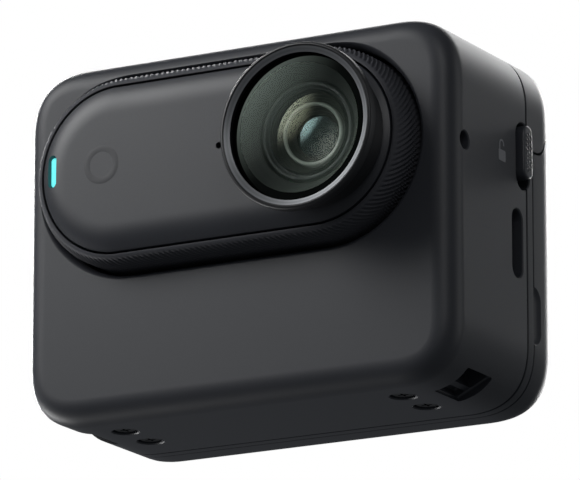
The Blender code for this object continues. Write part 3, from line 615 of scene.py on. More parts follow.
glass_low, glass_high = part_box("screen_cover_glass")
glass_seat = block("glass_seat", (glass_low.x - GAP, glass_low.y - GAP, glass_low.z - GAP),
                   (glass_high.x + GAP, beyond, glass_high.z + GAP))
round_off(glass_seat, runs_along(1), 5.2 * MM, 12, CORNER_PROFILE)
combine(screen, glass_seat)
WELL_HALF = 24.5 * MM
WELL_LOW = 6.2 * MM
WELL_TOP = 35.0 * MM
well = block("display_well", (-WELL_HALF, screen_low.y + 1.5 * MM, WELL_LOW), (WELL_HALF, beyond, WELL_TOP))
round_off(well, runs_along(1), 2 * MM, 6)
combine(screen, well)
NOTCH = (0, 8.0 * MM, 12.6 * MM)
notch_profile = [(0.7 * MM, right - 0.6 * MM), (1.3 * MM, right - 0.5 * MM), (1.6 * MM, right - 0.3 * MM),
                 (1.9 * MM, right), (2.4 * MM, right + 0.5 * MM)]
combine(screen, turn("notch", "X", NOTCH, notch_profile, 2.0 * MM, 46))
smooth(screen)
dress(screen, shell_plastic)
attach(screen, "screen")
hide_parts("screen_housing")

cover_glass = block("screen_glass_pane", glass_low, glass_high)
round_off(cover_glass, runs_along(1), 5.05 * MM, 16, CORNER_PROFILE)
round_off(cover_glass, at_level(1, glass_high.y), 0.25 * MM, 4)
smooth(cover_glass)

# Cover glass, black behind: mirror smooth, with a faint oil-repellent film and a slow 8 mm unevenness in its
# gloss.
pane = grained("black_backed_cover_glass", 8 * MM, 3.0, ("#060608",), (0.03, 0.09),
               {"IOR": 1.51, "Coat Weight": 0.3, "Coat Roughness": 0.03})
dress(cover_glass, pane)
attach(cover_glass, "screen")
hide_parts("screen_cover_glass")

# A switched-off display: a dark blue-grey film with rows of picture elements, drawn 1.9 mm apart so that
# they show.
WAVE_RATE = 20 / (2 * math.pi)  # how often a wave pattern of scale 1 repeats in a metre
display = new_material("switched_off_display")
position = node(display, "TexCoord").outputs["Object"]
rows = node(display, "TexWave", {"Vector": position, "Scale": repeats(1.885 * MM) / WAVE_RATE},
            wave_type="BANDS", bands_direction="Z")
shade(display, rows.outputs["Fac"], ("#0b0c12", "#11131b"), (0.2,), {"IOR": 1.5})
finish_nodes(display, "display_panel")

# ==================== The keys
# The shutter key is a round dished cap on top, and the power and quick-menu keys are slot-shaped caps in the
# left side. Each is a smooth charcoal moulding on a short stem that presses a metal dome switch.

cap_top = shutter_high.z
cap_base = cap_top - 1.0 * MM
DISH = 0.16 * MM
CAP_EDGE = 0.3 * MM
cap_edge = arc((shutter_radius - CAP_EDGE, cap_top - CAP_EDGE), (CAP_EDGE, CAP_EDGE), 0, 90, 5)
cap_profile = [
    (shutter_radius, cap_base), *cap_edge,
    (3.6 * MM, cap_top - 0.01 * MM), (3.3 * MM, cap_top - 0.06 * MM), (2.2 * MM, cap_top - 0.12 * MM),
    (1.0 * MM, cap_top - DISH), (0, cap_top - DISH),
]
shutter = turn("shutter_key_cap", "Z", shutter_centre, cap_profile, steps=80)
stem_x = shutter_centre.x + 3.4 * MM
stem_profile = [(0.7 * MM, shutter_low.z), (0.7 * MM, cap_top - 0.5 * MM)]
combine(shutter, turn("stem", "Z", (stem_x, shutter_centre.y, 0), stem_profile, steps=30), "UNION")
smooth(shutter)

# Smooth moulded polycarbonate: the same charcoal, with less texture than the shell, so it looks a little
# silkier.
key_plastic = grained("smooth_moulded_polycarbonate", 0.2 * MM, 2.0, ("#36383e", "#3b3d43"), (0.34, 0.42),
                      {"IOR": 1.58})
dress(shutter, key_plastic)
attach(shutter, "shutter_key")
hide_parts("shutter_button")

KEY_EDGE = 0.35 * MM
for key_name, node_name, body in (("power_key_cap", "power_button", "power_key"),
                                  ("quick_menu_key_cap", "quick_menu_button", "quick_menu_key")):
    low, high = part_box(node_name)
    outer = low.x
    edge = arc((key_radius - KEY_EDGE, outer + KEY_EDGE), (KEY_EDGE, -KEY_EDGE), 0, 90, 5)
    cap_profile = [(key_radius, outer + 1.2 * MM), *edge]
    cap = turn(key_name, "X", middle_of(node_name), cap_profile, key_stretch, 62)
    stem_profile = [(0.7 * MM, outer + 0.6 * MM), (0.7 * MM, high.x)]
    combine(cap, turn("stem", "X", middle_of(node_name), stem_profile, steps=30), "UNION")
    smooth(cap)
    dress(cap, key_plastic)
    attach(cap, body)
    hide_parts(node_name)

finish_nodes(steel, "shutter_switch", "power_switch", "quick_menu_switch")

# ==================== The release slider
# A sprung thumb slider in the right side draws a steel latch out of the camera's back. Its smooth thumb has
# rows of small round pips for grip, and a padlock is printed beside it.

THUMB_RADIUS = 1.25 * MM
THUMB_STRETCH = 3.6 * MM - THUMB_RADIUS
THUMB_EDGE = 0.3 * MM
THUMB_BASE_X = 30.2 * MM
PIP_HEIGHT = 0.1 * MM
thumb_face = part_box("release_slider")[1].x
crown = thumb_face - PIP_HEIGHT
thumb_edge = arc((THUMB_RADIUS - THUMB_EDGE, crown - THUMB_EDGE), (THUMB_EDGE, THUMB_EDGE), 0, 90, 5)
thumb_profile = [(THUMB_RADIUS, THUMB_BASE_X), *thumb_edge]
slider = turn("release_thumb_slider", "X", (0, SLIDER_Y, SLIDER_Z), thumb_profile, THUMB_STRETCH, 62)
for part, low, high in (
    ("neck", (29.3, 4.4, 31.75), (30.9, 5.8, 35.75)),
    ("plate", (29.0, 2.5, 27.9), (29.8, 6.0, 39.2)),
    ("tab", (25.6, 3.9, 34.0), (29.4, 5.7, 35.4)),
):
    combine(slider, block(part, Vector(low) * MM, Vector(high) * MM), "UNION")
smooth(slider)
dress(slider, key_plastic)
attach(slider, "release_key")
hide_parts("release_slider")

PIP_RADIUS = 0.2 * MM
PIP_PITCH = 0.62 * MM
PIP_REACH = 2.7 * MM
pip_profile = [(PIP_RADIUS, crown - 0.1 * MM), (PIP_RADIUS, crown + 0.05 * MM),
               (0.11 * MM, thumb_face - 0.01 * MM), (0, thumb_face)]
first_pip = turn("thumb_pips", "X", (0, SLIDER_Y, SLIDER_Z), pip_profile, steps=10)
pips = [first_pip]
for column in (-1, 0, 1):
    for row in range(-4, 5):
        offset = Vector((0, column * PIP_PITCH, (row + 0.5 * (column % 2)) * PIP_PITCH))
        if (column, row) == (0, 0) or abs(offset.z) > PIP_REACH:
            continue
        pip = first_pip.copy()
        pip.data = first_pip.data.copy()
        pip.data.transform(Matrix.Translation(offset))
        bpy.context.scene.collection.objects.link(pip)
        pips.append(pip)
select_only(first_pip)
for pip in pips:
    pip.select_set(True)
bpy.ops.object.join()
smooth(first_pip, 50)
dress(first_pip, key_plastic)
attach(first_pip, "release_key")

finish_nodes(steel, "release_spring", "release_latch")

# The open padlock is pad-printed in light grey ink, a few hundredths of a millimetre thick.
LOCK_Y = -0.75 * MM
LOCK_Z = 32.05 * MM
INK = 0.03 * MM
BODY_HALF = (0.95 * MM, 0.75 * MM)  # half its width and half its height
BODY_CORNER = 0.2 * MM
SHACKLE = (0.42 * MM, 0.66 * MM)  # the inner and outer radius of its bow
arch_y = LOCK_Y - BODY_HALF[0] + BODY_CORNER + SHACKLE[1]
arch_z = LOCK_Z + 1.5 * MM
top_z = LOCK_Z + BODY_HALF[1]
lock_outline = []
for side_y, side_z, start in ((-1, -1, 180), (1, -1, 270), (1, 1, 0)):
    corner = (LOCK_Y + side_y * (BODY_HALF[0] - BODY_CORNER), LOCK_Z + side_z * (BODY_HALF[1] - BODY_CORNER))
    lock_outline += arc(corner, (BODY_CORNER, BODY_CORNER), start, start + 90, 4)
lock_outline.append((arch_y - SHACKLE[0], top_z))
lock_outline += arc((arch_y, arch_z), (SHACKLE[0], SHACKLE[0]), 180, -20, 14)
lock_outline += arc((arch_y, arch_z), (SHACKLE[1], SHACKLE[1]), -20, 180, 18)
lock_outline.append((arch_y - SHACKLE[1], top_z))
corner = (LOCK_Y - BODY_HALF[0] + BODY_CORNER, top_z - BODY_CORNER)
lock_outline += arc(corner, (BODY_CORNER, BODY_CORNER), 100, 180, 4)
lock = drawn("printed_padlock", lock_outline, right - INK, right + INK)

# Pad-printing ink: matt light grey, with tiny 0.1 mm pinholes of tone.
ink = grained("pad_printing_ink", 0.1 * MM, 1.0, ("#85868a", "#97989c"), (0.6,), {"IOR": 1.5})
dress(lock, ink)
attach(lock, "pod")

# ==================== Ports and pod hardware
# The USB receptacle is a drawn steel shell round a black tongue with gold-plated contacts. The microphone,
# the speaker, the mounting plates and the four base screws are bought-in parts.

usb_low, usb_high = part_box("usb_c_receptacle")
usb_radius = (usb_high.y - usb_low.y) / 2
usb_stretch = (usb_high.z - usb_low.z) / 2 - usb_radius
usb_profile = [
    (usb_radius, usb_low.x), (usb_radius, usb_high.x - 0.1 * MM), (usb_radius - 0.1 * MM, usb_high.x),
    (usb_radius - 0.32 * MM, usb_high.x), (usb_radius - 0.4 * MM, usb_high.x - 0.1 * MM),
    (usb_radius - 0.4 * MM, usb_low.x + 1.4 * MM), (0.5 * MM, usb_low.x + 1.4 * MM), (0.5 * MM, usb_low.x),
]
receptacle = turn("usb_receptacle_shell", "X", usb_centre, usb_profile, usb_stretch, 62, ring=True)
CORE_HALF = 0.6 * MM
core_reach = usb_stretch + CORE_HALF
core = block("core", (usb_low.x + 0.1 * MM, usb_centre.y - CORE_HALF, usb_centre.z - core_reach),
             (usb_low.x + 1.3 * MM, usb_centre.y + CORE_HALF, usb_centre.z + core_reach))
combine(receptacle, core, "UNION")
smooth(receptacle)
dress(receptacle, steel)
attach(receptacle, "pod")
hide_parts("usb_c_receptacle")

TONGUE_END = 29.4 * MM
tongue_half = Vector((0, 0.35 * MM, 3.3 * MM))
tongue_low = usb_centre - tongue_half
tongue_high = usb_centre + tongue_half
tongue_low.x = usb_low.x + 1.2 * MM
tongue_high.x = TONGUE_END
tongue = block("usb_tongue", tongue_low, tongue_high)
round_off(tongue, at_level(0, TONGUE_END), 0.15 * MM, 2)
smooth(tongue)
dress(tongue, black_abs)
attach(tongue, "pod")

# A screw is modelled once: a flat round head with a softened rim and a tapered cross recess, on a short
# shank.
HEAD_RADIUS = 1.45 * MM
head_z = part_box("base_screw_1")[0].z
head_profile = [
    (0.75 * MM, head_z + 3.35 * MM), (0.75 * MM, head_z + 0.7 * MM), (HEAD_RADIUS, head_z + 0.7 * MM),
    (HEAD_RADIUS, head_z + 0.2 * MM), (HEAD_RADIUS - 0.06 * MM, head_z + 0.06 * MM),
    (HEAD_RADIUS - 0.2 * MM, head_z), (0.9 * MM, head_z),
]
first_place = screw_places[0]
first_screw = turn("base_screw_head_1", "Z", first_place, head_profile, steps=42)
for wide, narrow in ((0.75 * MM, 0.16 * MM), (0.16 * MM, 0.75 * MM)):
    arm = block("drive", (first_place.x - wide, first_place.y - narrow, head_z - MM),
                (first_place.x + wide, first_place.y + narrow, head_z + 0.42 * MM))
    combine(first_screw, arm)
smooth(first_screw)

# Blackened steel: a dark oxide over rolled and headed wire, satin, with a 0.3 mm mottle.
dark_steel = grained("black_oxide_steel", 0.3 * MM, 3.0, ("#3c3d40", "#505154"), (0.3, 0.42),
                     {"Metallic": 1.0})
dress(first_screw, dark_steel)
screws = [first_screw]
for number, place in enumerate(screw_places[1:], 2):
    screw = first_screw.copy()
    screw.name = "base_screw_head_" + str(number)
    screw.data = first_screw.data.copy()
    screw.data.transform(Matrix.Translation(place - first_place))
    bpy.context.scene.collection.objects.link(screw)
    screws.append(screw)
for number, screw in enumerate(screws, 1):
    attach(screw, "pod")
    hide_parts("base_screw_" + str(number))

finish_nodes(steel, "mount_plate_left", "mount_plate_right", "pod_microphone")
finish_nodes(black_abs, "pod_speaker")

# ==================== The pod's insides
# Two sintered magnets, the sprung charging pins, the main board and a pouch battery fill the pod. They
# hardly show, but each has the finish of the real part.

# Nickel plating on sintered magnets: bright and slightly yellow, with faint 1 mm waves from barrel plating.
nickel = grained("nickel_plated_magnet", MM, 1.0, ("#b9b4a6",), (0.15, 0.3), {"Metallic": 1.0})
finish_nodes(nickel, "cradle_magnet_left", "cradle_magnet_right", "camera_back_magnet")

# Gold plating on spring pins and pads: warm and bright, with light 0.4 mm scuffs from docking.
gold = grained("gold_plated_contacts", 0.4 * MM, 2.0, ("#c9a24a", "#e0bf72"), (0.2, 0.36), {"Metallic": 1.0})
finish_nodes(gold, "pogo_pin_block")

# Glass-fibre board under green solder mask: semi-gloss, with a 1.2 mm pattern of darker copper runs beneath.
board = new_material("solder_masked_circuit_board")
position = node(board, "TexCoord").outputs["Object"]
tracks = node(board, "TexVoronoi", {"Vector": position, "Scale": repeats(1.2 * MM)}, distance="MANHATTAN",
              feature="F1")
runs = node(board, "MapRange", {"Value": tracks.outputs["Distance"], "From Min": 0.35, "From Max": 0.45})
shade(board, runs.outputs["Result"], ("#0d3b24", "#15572f"), (0.35,), {"IOR": 1.5})
finish_nodes(board, "pod_main_board", "screen_board", "camera_main_board", "sensor_board")

# Aluminised pouch film: silvery and soft, with 2 mm wrinkles from vacuum sealing.
pouch = grained("battery_pouch_film", 2 * MM, 2.0, ("#8f9194",), (0.3, 0.45), {"Metallic": 0.8},
                (0.3, 0.1 * MM))
finish_nodes(pouch, "pod_battery", "camera_battery")

# ==================== The camera's body shell
# The camera's own shell is a black glass-filled nylon band round the module. Its rolled shoulder carries
# slanted grip ribs all the way round, finer than modelling tools draw one by one, so its mesh follows a
# formula.

RIB_COUNT = 178
RIB_SAMPLES = 10
RIB_DEPTH = 0.34 * MM
RIB_LEAN = 0.8
FACE_RADIUS = module_radius - 1.6 * MM
SHOULDER_DEPTH = 2.95 * MM
SHOULDER_EXPONENT = 2.2
shoulder_y = -15.3 * MM
BORE_RADIUS = module_radius - 1.4 * MM


def shoulder_radius(share):
    """The shoulder's offset from the spine, from 1 at the face seam to 0 where the straight wall starts."""
    reach = (1 - share ** SHOULDER_EXPONENT) ** (1 / SHOULDER_EXPONENT)
    return FACE_RADIUS + (module_radius - FACE_RADIUS) * reach


def spine_point(travel, radius):
    """The (x, z) place at a distance along the module's outer edge, offset by a radius from the spine."""
    straight = 2 * module_half
    bend = math.pi * module_radius
    half_way = straight + bend
    side = 1
    if travel >= half_way:
        side = -1
        travel -= half_way
    if travel < bend:
        angle = travel / module_radius - QUARTER
        x = module_half + radius * math.cos(angle)
        z = radius * math.sin(angle)
    else:
        x = module_half - (travel - bend)
        z = radius
    return spine.x + side * x, spine.z + side * z


stations = []
SHARES = (0.985, 0.975, 0.955, 0.92, 0.88, 0.83, 0.78, 0.72, 0.66, 0.6, 0.54, 0.48, 0.42, 0.36, 0.3, 0.24,
          0.18, 0.12, 0.06, 0.0)
for share in SHARES:
    stations.append((shoulder_radius(share), shoulder_y - SHOULDER_DEPTH * share))
for y in (-14.9, -14.5, -14.1, -13.7, -13.3, -12.9):
    stations.append((module_radius, y * MM))
plain_from = len(stations)
back_y = module_high.y
stations += [(module_radius, back_y - 0.8 * MM), (module_radius - 0.15 * MM, back_y - 0.3 * MM),
             (module_radius - 0.5 * MM, back_y), (BORE_RADIUS, back_y), (BORE_RADIUS, -10 * MM),
             (BORE_RADIUS, stations[0][1])]

travelled = [0.0]
for near, far in zip(stations, stations[1:]):
    travelled.append(travelled[-1] + math.dist(near, far))
ribbed_end = travelled[plain_from - 1]
perimeter = 4 * module_half + 2 * math.pi * module_radius
pitch = perimeter / RIB_COUNT


def rib_cut(travel, down, number):
    """How far a groove cuts in, at a distance round the edge and down the shoulder."""
    if number >= plain_from:
        return 0.0
    rise = min(1.0, max(0.0, (down / MM - 0.35) / 0.6))
    fall = min(1.0, max(0.0, (ribbed_end - down) / (0.7 * MM)))
    strength = rise * rise * (3 - 2 * rise) * fall
    phase = (travel - RIB_LEAN * down) / pitch
    return RIB_DEPTH * strength * (0.5 + 0.5 * math.cos(2 * math.pi * phase)) ** 1.2


points = []
columns = RIB_COUNT * RIB_SAMPLES
for number, (radius, y) in enumerate(stations):
    for column in range(columns):
        travel = perimeter * column / columns
        cut = rib_cut(travel, travelled[number], number)
        share_in = min(1.0, travelled[number] / (4 * MM))
        x, z = spine_point(travel, radius - cut * (0.4 + 0.6 * share_in))
        points.append((x, y + cut * 0.6 * (1 - share_in), z))
quads = []
for number in range(len(stations)):
    after = (number + 1) % len(stations)
    for column in range(columns):
        beside = (column + 1) % columns
        quads.append((number * columns + column, after * columns + column, after * columns + beside,
                      number * columns + beside))
body_mesh = bpy.data.meshes.new("ribbed_camera_band")
body_mesh.from_pydata(points, [], quads)
body_band = bpy.data.objects.new("ribbed_camera_band", body_mesh)
bpy.context.scene.collection.objects.link(body_band)
choose(body_band, "VERT", lambda place: True)
bpy.ops.mesh.normals_make_consistent(inside=False)
leave()
select_only(body_band)
bpy.ops.object.shade_smooth_by_angle(angle=math.radians(50))

# Glass-filled nylon: near black, with a low sheen and a 0.15 mm fibre fleck.
nylon = grained("glass_filled_nylon", 0.15 * MM, 2.0, ("#424348", "#4e4f55"), (0.56, 0.68),
                {"IOR": 1.53, "Specular IOR Level": 0.3})
dress(body_band, nylon)
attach(body_band, "camera")
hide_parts("camera_body_shell")

# ==================== The camera's front cover
# The front cover is a slot-shaped charcoal moulding with a gently crowned face, pressed into the band. It
# bends a little to work the button behind it, and the status light and a microphone open through it.

cover_low, cover_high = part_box("camera_front_cover")
cover_radius = (cover_high.z - cover_low.z) / 2
face_y = cover_low.y
FLAT_RADIUS = 7.2 * MM
CROWN_DEPTH = 0.95 * MM
cover_profile = [(cover_radius, cover_high.y), (cover_radius, face_y + CROWN_DEPTH + 0.1 * MM)]
for step in range(15):
    share = 1 - step / 14
    radius = FLAT_RADIUS + (cover_radius - 0.05 * MM - FLAT_RADIUS) * share
    cover_profile.append((radius, face_y + CROWN_DEPTH * share ** 2.6))
front_cover = turn("camera_face_cover", "Y", spine, cover_profile, module_half, 126)

lens_low, lens_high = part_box("lens_guard_ring")
lens_axis = (lens_low + lens_high) / 2
combine(front_cover, turn("lens_hole", "Y", lens_axis, [(7 * MM, face_y - MM), (7 * MM, cover_high.y + MM)]))
light_low, light_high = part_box("status_light_pipe")
light_centre = (light_low + light_high) / 2
LIGHT_SLOT = Vector((0.72 * MM, 0, 2.22 * MM))
slot_cutter = block("light_slot", (light_centre.x - LIGHT_SLOT.x, face_y - MM, light_centre.z - LIGHT_SLOT.z),
                    (light_centre.x + LIGHT_SLOT.x, cover_high.y + MM, light_centre.z + LIGHT_SLOT.z))
round_off(slot_cutter, runs_along(1), 0.7 * MM, 8)
combine(front_cover, slot_cutter)
MIC_PLACE = (0.2 * MM, 0, 33.2 * MM)
mic_bore = [(0.45 * MM, face_y - MM), (0.45 * MM, -17.2 * MM)]
combine(front_cover, turn("mic_hole", "Y", MIC_PLACE, mic_bore, steps=30))
smooth(front_cover)

# Fine satin polycarbonate: smoother than the pod, so its crowned edge and face take a softer, brighter sheen.
face_plastic = new_material("satin_moulded_polycarbonate")
position = node(face_plastic, "TexCoord").outputs["Object"]
grain = node(face_plastic, "TexNoise", {"Vector": position, "Scale": repeats(0.22 * MM), "Detail": 2.0})
drift = node(face_plastic, "TexNoise", {"Vector": position, "Scale": repeats(12 * MM), "Detail": 1.0})
tone = node(face_plastic, "Mix", {0: grain.outputs["Fac"], 6: colour("#33353b"), 7: colour("#393b41")},
            data_type="RGBA")
gloss = node(face_plastic, "MapRange", {"Value": drift.outputs["Fac"], "To Min": 0.38, "To Max": 0.44})
relief = node(face_plastic, "Bump", {"Height": grain.outputs["Fac"], "Strength": 0.08, "Distance": 0.02 * MM})
shader = node(face_plastic, "BsdfPrincipled", {
    "Base Color": tone.outputs[2], "Roughness": gloss.outputs["Result"], "IOR": 1.58,
    "Normal": relief.outputs["Normal"]})
node(face_plastic, "OutputMaterial", {"Surface": shader.outputs["BSDF"]})
dress(front_cover, face_plastic)
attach(front_cover, "camera")
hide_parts("camera_front_cover")

# A plain ring marks where the face is pressed. It is a hair's breadth of clear varnish on the moulding.
MARK_CENTRE = (-17.45 * MM, 0, 33.0 * MM)
MARK_HEIGHT = 0.008 * MM
mark_profile = [(2.6 * MM, face_y), (2.45 * MM, face_y - MARK_HEIGHT), (1.9 * MM, face_y - MARK_HEIGHT),
                (1.75 * MM, face_y)]
mark = turn("face_press_ring", "Y", MARK_CENTRE, mark_profile, steps=80, ring=True)
smooth(mark)
varnish = grained("clear_varnish_on_charcoal", MM, 1.0, ("#313338",), (0.33, 0.38), {"IOR": 1.5})
dress(mark, varnish)
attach(mark, "camera")

# The status light is a milky acrylic bar that carries a cyan lamp's light to the face.
light_pipe = block("status_light_bar", light_low, light_high)
round_off(light_pipe, runs_along(1), 0.48 * MM, 8)
round_off(light_pipe, at_level(1, light_low.y), 0.12 * MM, 3)
smooth(light_pipe)
acrylic = new_material("lit_milky_acrylic")
position = node(acrylic, "TexCoord").outputs["Object"]
haze = node(acrylic, "TexNoise", {"Vector": position, "Scale": repeats(0.8 * MM), "Detail": 1.0})
glow = node(acrylic, "Mix", {0: haze.outputs["Fac"], 6: colour("#4fe6ea"), 7: colour("#7df6f2")},
            data_type="RGBA")
shader = node(acrylic, "BsdfPrincipled", {
    "Base Color": colour("#35c9cc"), "Roughness": 0.3, "IOR": 1.49, "Emission Color": glow.outputs[2],
    "Emission Strength": 0.85})
node(acrylic, "OutputMaterial", {"Surface": shader.outputs["BSDF"]})
dress(light_pipe, acrylic)
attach(light_pipe, "camera")
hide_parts("status_light_pipe")

# ==================== The camera's back cover
# The back cover is a flat black lid let into the band, with a window for a strip of five gold contact pads.

back_low, back_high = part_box("camera_back_cover")
back_radius = (back_high.z - back_low.z) / 2
back_profile = [(back_radius, back_low.y), (back_radius, back_high.y - 0.2 * MM),
                (back_radius - 0.2 * MM, back_high.y)]
back_cover = turn("camera_back_lid", "Y", spine, back_profile, module_half, 94)
contact_low, contact_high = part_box("camera_contact_plate")
window = Vector((GAP, MM, GAP))
combine(back_cover, block("contact_window", contact_low - window, contact_high + window))
smooth(back_cover)
dress(back_cover, black_abs)
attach(back_cover, "camera")
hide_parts("camera_back_cover")

contact_base = block("contact_strip", contact_low, contact_high - Vector((0, 0.12 * MM, 0)))
round_off(contact_base, runs_along(1), 0.3 * MM, 3)
smooth(contact_base)
dress(contact_base, black_abs)
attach(contact_base, "camera")
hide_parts("camera_contact_plate")
PAD_PITCH = 1.5 * MM
contact_middle = (contact_low + contact_high) / 2
for number in range(5):
    x = contact_middle.x + (number - 2) * PAD_PITCH
    pad_low = (x - 0.5 * MM, contact_high.y - 0.25 * MM, contact_middle.z - MM)
    pad_high = (x + 0.5 * MM, contact_high.y, contact_middle.z + MM)
    pad = block("contact_pad_" + str(number + 1), pad_low, pad_high)
    round_off(pad, runs_along(1), 0.25 * MM, 3)
    round_off(pad, at_level(1, contact_high.y), 0.06 * MM, 2)
    smooth(pad)
    dress(pad, gold)
    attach(pad, "camera")

finish_nodes(steel, "camera_button_switch", "camera_microphone")

# ==================== The lens mount and barrel
# The collar on the camera's face holds the twist-off guard. The barrel is turned and blackened aluminium,
# with a chamfer round its mouth, fine baffle steps inside it and the glass elements stacked in its
# bore.

collar_low, collar_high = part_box("lens_mount_collar")
collar_profile = [(7.0 * MM, collar_high.y), (7.0 * MM, collar_low.y), (8.05 * MM, collar_low.y),
                  (8.2 * MM, collar_low.y + 0.15 * MM), (8.2 * MM, collar_high.y)]
collar = turn("lens_collar", "Y", lens_axis, collar_profile, steps=110, ring=True)
smooth(collar)
dress(collar, black_abs)
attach(collar, "camera")
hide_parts("lens_mount_collar")

barrel_low, barrel_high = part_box("lens_barrel")
mouth = barrel_low.y
barrel_profile = [
    (6.4 * MM, barrel_high.y), (6.4 * MM, mouth + 0.16 * MM), (6.3 * MM, mouth + 0.03 * MM),
    (6.22 * MM, mouth), (6.0 * MM, mouth), (5.95 * MM, mouth + 0.05 * MM), (5.75 * MM, mouth + 0.5 * MM),
    (5.6 * MM, mouth + 0.55 * MM), (5.6 * MM, mouth + 4.2 * MM), (4.2 * MM, mouth + 4.2 * MM),
    (4.2 * MM, barrel_high.y),
]
lens_barrel = turn("lens_barrel_turning", "Y", lens_axis, barrel_profile, steps=150, ring=True)
smooth(lens_barrel, 20)


def lathe_turned(name, pitch, shades, gloss, settings):
    """A material with turning rings round the lens's axis, a real distance apart."""
    material = new_material(name)
    position = node(material, "TexCoord").outputs["Object"]
    centred = node(material, "Mapping", {"Vector": position, "Location": (-lens_axis.x, 0, -lens_axis.z)})
    rings = node(material, "TexWave", {
        "Vector": centred.outputs["Vector"], "Scale": repeats(pitch) / WAVE_RATE},
        wave_type="RINGS", rings_direction="Y")
    shade(material, rings.outputs["Fac"], shades, gloss, settings)
    return material


# Black anodised aluminium: dyed oxide over turned metal, satin. Its turning rings, really about 0.1 mm apart,
# are drawn 0.75 mm apart so that they show.
anodised = lathe_turned("black_anodised_aluminium", 0.754 * MM, ("#2a2b2d", "#303133"), (0.34, 0.42),
                        {"Metallic": 0.35, "IOR": 1.6})
dress(lens_barrel, anodised)
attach(lens_barrel, "camera")
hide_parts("lens_barrel")

# ==================== The glass elements
# The front element is a plano-convex block of optical glass with an anti-reflection coating. Behind it a
# stepped black stop narrows to the pupil, and two smaller elements sit deeper in the bore.

element_low, element_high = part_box("front_lens_element")
apex = element_low.y
DOME_REACH = 5.3 * MM
DOME_SAG = 1.15 * MM
dome_radius = (DOME_REACH ** 2 + DOME_SAG ** 2) / (2 * DOME_SAG)
dome = []
for step in range(19):
    radius = DOME_REACH * (1 - step / 18)
    dome.append((radius, apex + dome_radius - math.sqrt(dome_radius ** 2 - radius ** 2)))
front_element = turn("front_glass_element", "Y", lens_axis, [(DOME_REACH, element_high.y), *dome], steps=110)
smooth(front_element, 25)


def clear_glass(name, tint, ior, mirrored, passed):
    """Sharp clear glass with a tinted mirror image. Lamps shine through it unbent, in the passed colour."""
    material = new_material(name)
    glass = node(material, "BsdfPrincipled", {
        "Base Color": colour(tint), "Roughness": 0.0, "IOR": ior, "Transmission Weight": 1.0,
        "Specular Tint": colour(mirrored)})
    passing = node(material, "BsdfTransparent", {"Color": colour(passed)})
    ray = node(material, "LightPath")
    both = node(material, "MixShader", {0: ray.outputs["Is Shadow Ray"], 1: glass.outputs["BSDF"],
                                        2: passing.outputs["BSDF"]})
    node(material, "OutputMaterial", {"Surface": both.outputs["Shader"]})
    return material


# Coated optical glass: clear, with an olive cast in what it mirrors.
lens_glass = clear_glass("coated_optical_glass", "#f4f3ee", 1.62, "#babb9f", "#e8efeb")
dress(front_element, lens_glass)

# The rear and edge of an element are fully bloomed, so they mirror next to nothing.
plain_glass = clear_glass("bloomed_optical_glass", "#f6f7f2", 1.62, "#060606", "#f0f2ee")
front_element.data.materials.append(plain_glass)
for face in front_element.data.polygons:
    if face.center.y > apex + DOME_SAG:
        face.material_index = 1
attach(front_element, "camera")
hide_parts("front_lens_element")

stop_low, stop_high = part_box("aperture_ring")
stop_profile = [(2.3 * MM, stop_high.y), (5.3 * MM, stop_high.y), (5.3 * MM, stop_low.y)]
STEP_WIDTH = 0.375 * MM
for step in range(1, 8):
    radius = 5.3 * MM - step * STEP_WIDTH
    level = stop_low.y + step * 0.1 * MM
    stop_profile.append((radius + 0.04 * MM, level - 0.1 * MM))
    stop_profile.append((radius, level))
stop_profile.append((2.3 * MM, stop_low.y + 0.75 * MM))
stop = turn("stepped_stop", "Y", lens_axis, stop_profile, steps=110, ring=True)
smooth(stop, 20)

# Matt black anodising inside the lens: deep and dull, to kill stray light, with the same turning rings.
dull_black_and_painted_shade = lathe_turned("matt_black_anodised_aluminium", 0.754 * MM, ("#101011", "#171718"), (0.5,),
                          {"IOR": 1.6, "Specular IOR Level": 0.3})
dress(stop, dull_black_and_painted_shade)
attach(stop, "camera")
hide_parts("aperture_ring")
finish_nodes(plain_glass, "third_lens_element")

# A plain turned ring holds the front element in its seat. Its chamfer is left bright, so it draws a thin
# light circle.
keeper_y = element_high.y + 0.02 * MM
keeper_profile = [(3.2 * MM, keeper_y + 0.36 * MM), (3.2 * MM, keeper_y + 0.16 * MM), (3.34 * MM, keeper_y),
                  (3.58 * MM, keeper_y), (3.66 * MM, keeper_y + 0.1 * MM), (3.66 * MM, keeper_y + 0.36 * MM)]
keeper = turn("element_keeper_ring", "Y", lens_axis, keeper_profile, steps=110, ring=True)
smooth(keeper, 20)

# Satin turned aluminium, clear anodised: light grey, with turning lines drawn 0.63 mm apart.
keeper_metal = lathe_turned("satin_turned_aluminium", 0.628 * MM, ("#a2a3a5", "#b6b7b9"), (0.5,),
                            {"Metallic": 0.3})
dress(keeper, keeper_metal)
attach(keeper, "camera")

second_low, second_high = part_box("second_lens_element")
second_reach = (second_high.z - second_low.z) / 2
NOSE_REACH = 2.2 * MM
NOSE_SAG = 0.65 * MM
nose_apex = element_high.y + 0.08 * MM
nose_curve = (NOSE_REACH ** 2 + NOSE_SAG ** 2) / (2 * NOSE_SAG)
second_profile = [(second_reach, second_high.y), (second_reach, second_low.y), (NOSE_REACH, second_low.y)]
for step in range(15):
    radius = NOSE_REACH * (1 - step / 14)
    second_profile.append((radius, nose_apex + nose_curve - math.sqrt(nose_curve ** 2 - radius ** 2)))
second_element = turn("inner_glass_element", "Y", lens_axis, second_profile, steps=80)
smooth(second_element, 25)

# Dark multi-coated glass: it hardly lets light back out, and what it mirrors takes a cold blue cast.
blue_coat = grained("blue_coated_optical_glass", 1.5 * MM, 1.0, ("#02060a", "#050d13"), (0.12,),
                    {"IOR": 1.9, "Specular IOR Level": 1.0, "Specular Tint": colour("#c4e6f2")})
dress(second_element, blue_coat)
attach(second_element, "camera")
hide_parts("second_lens_element")

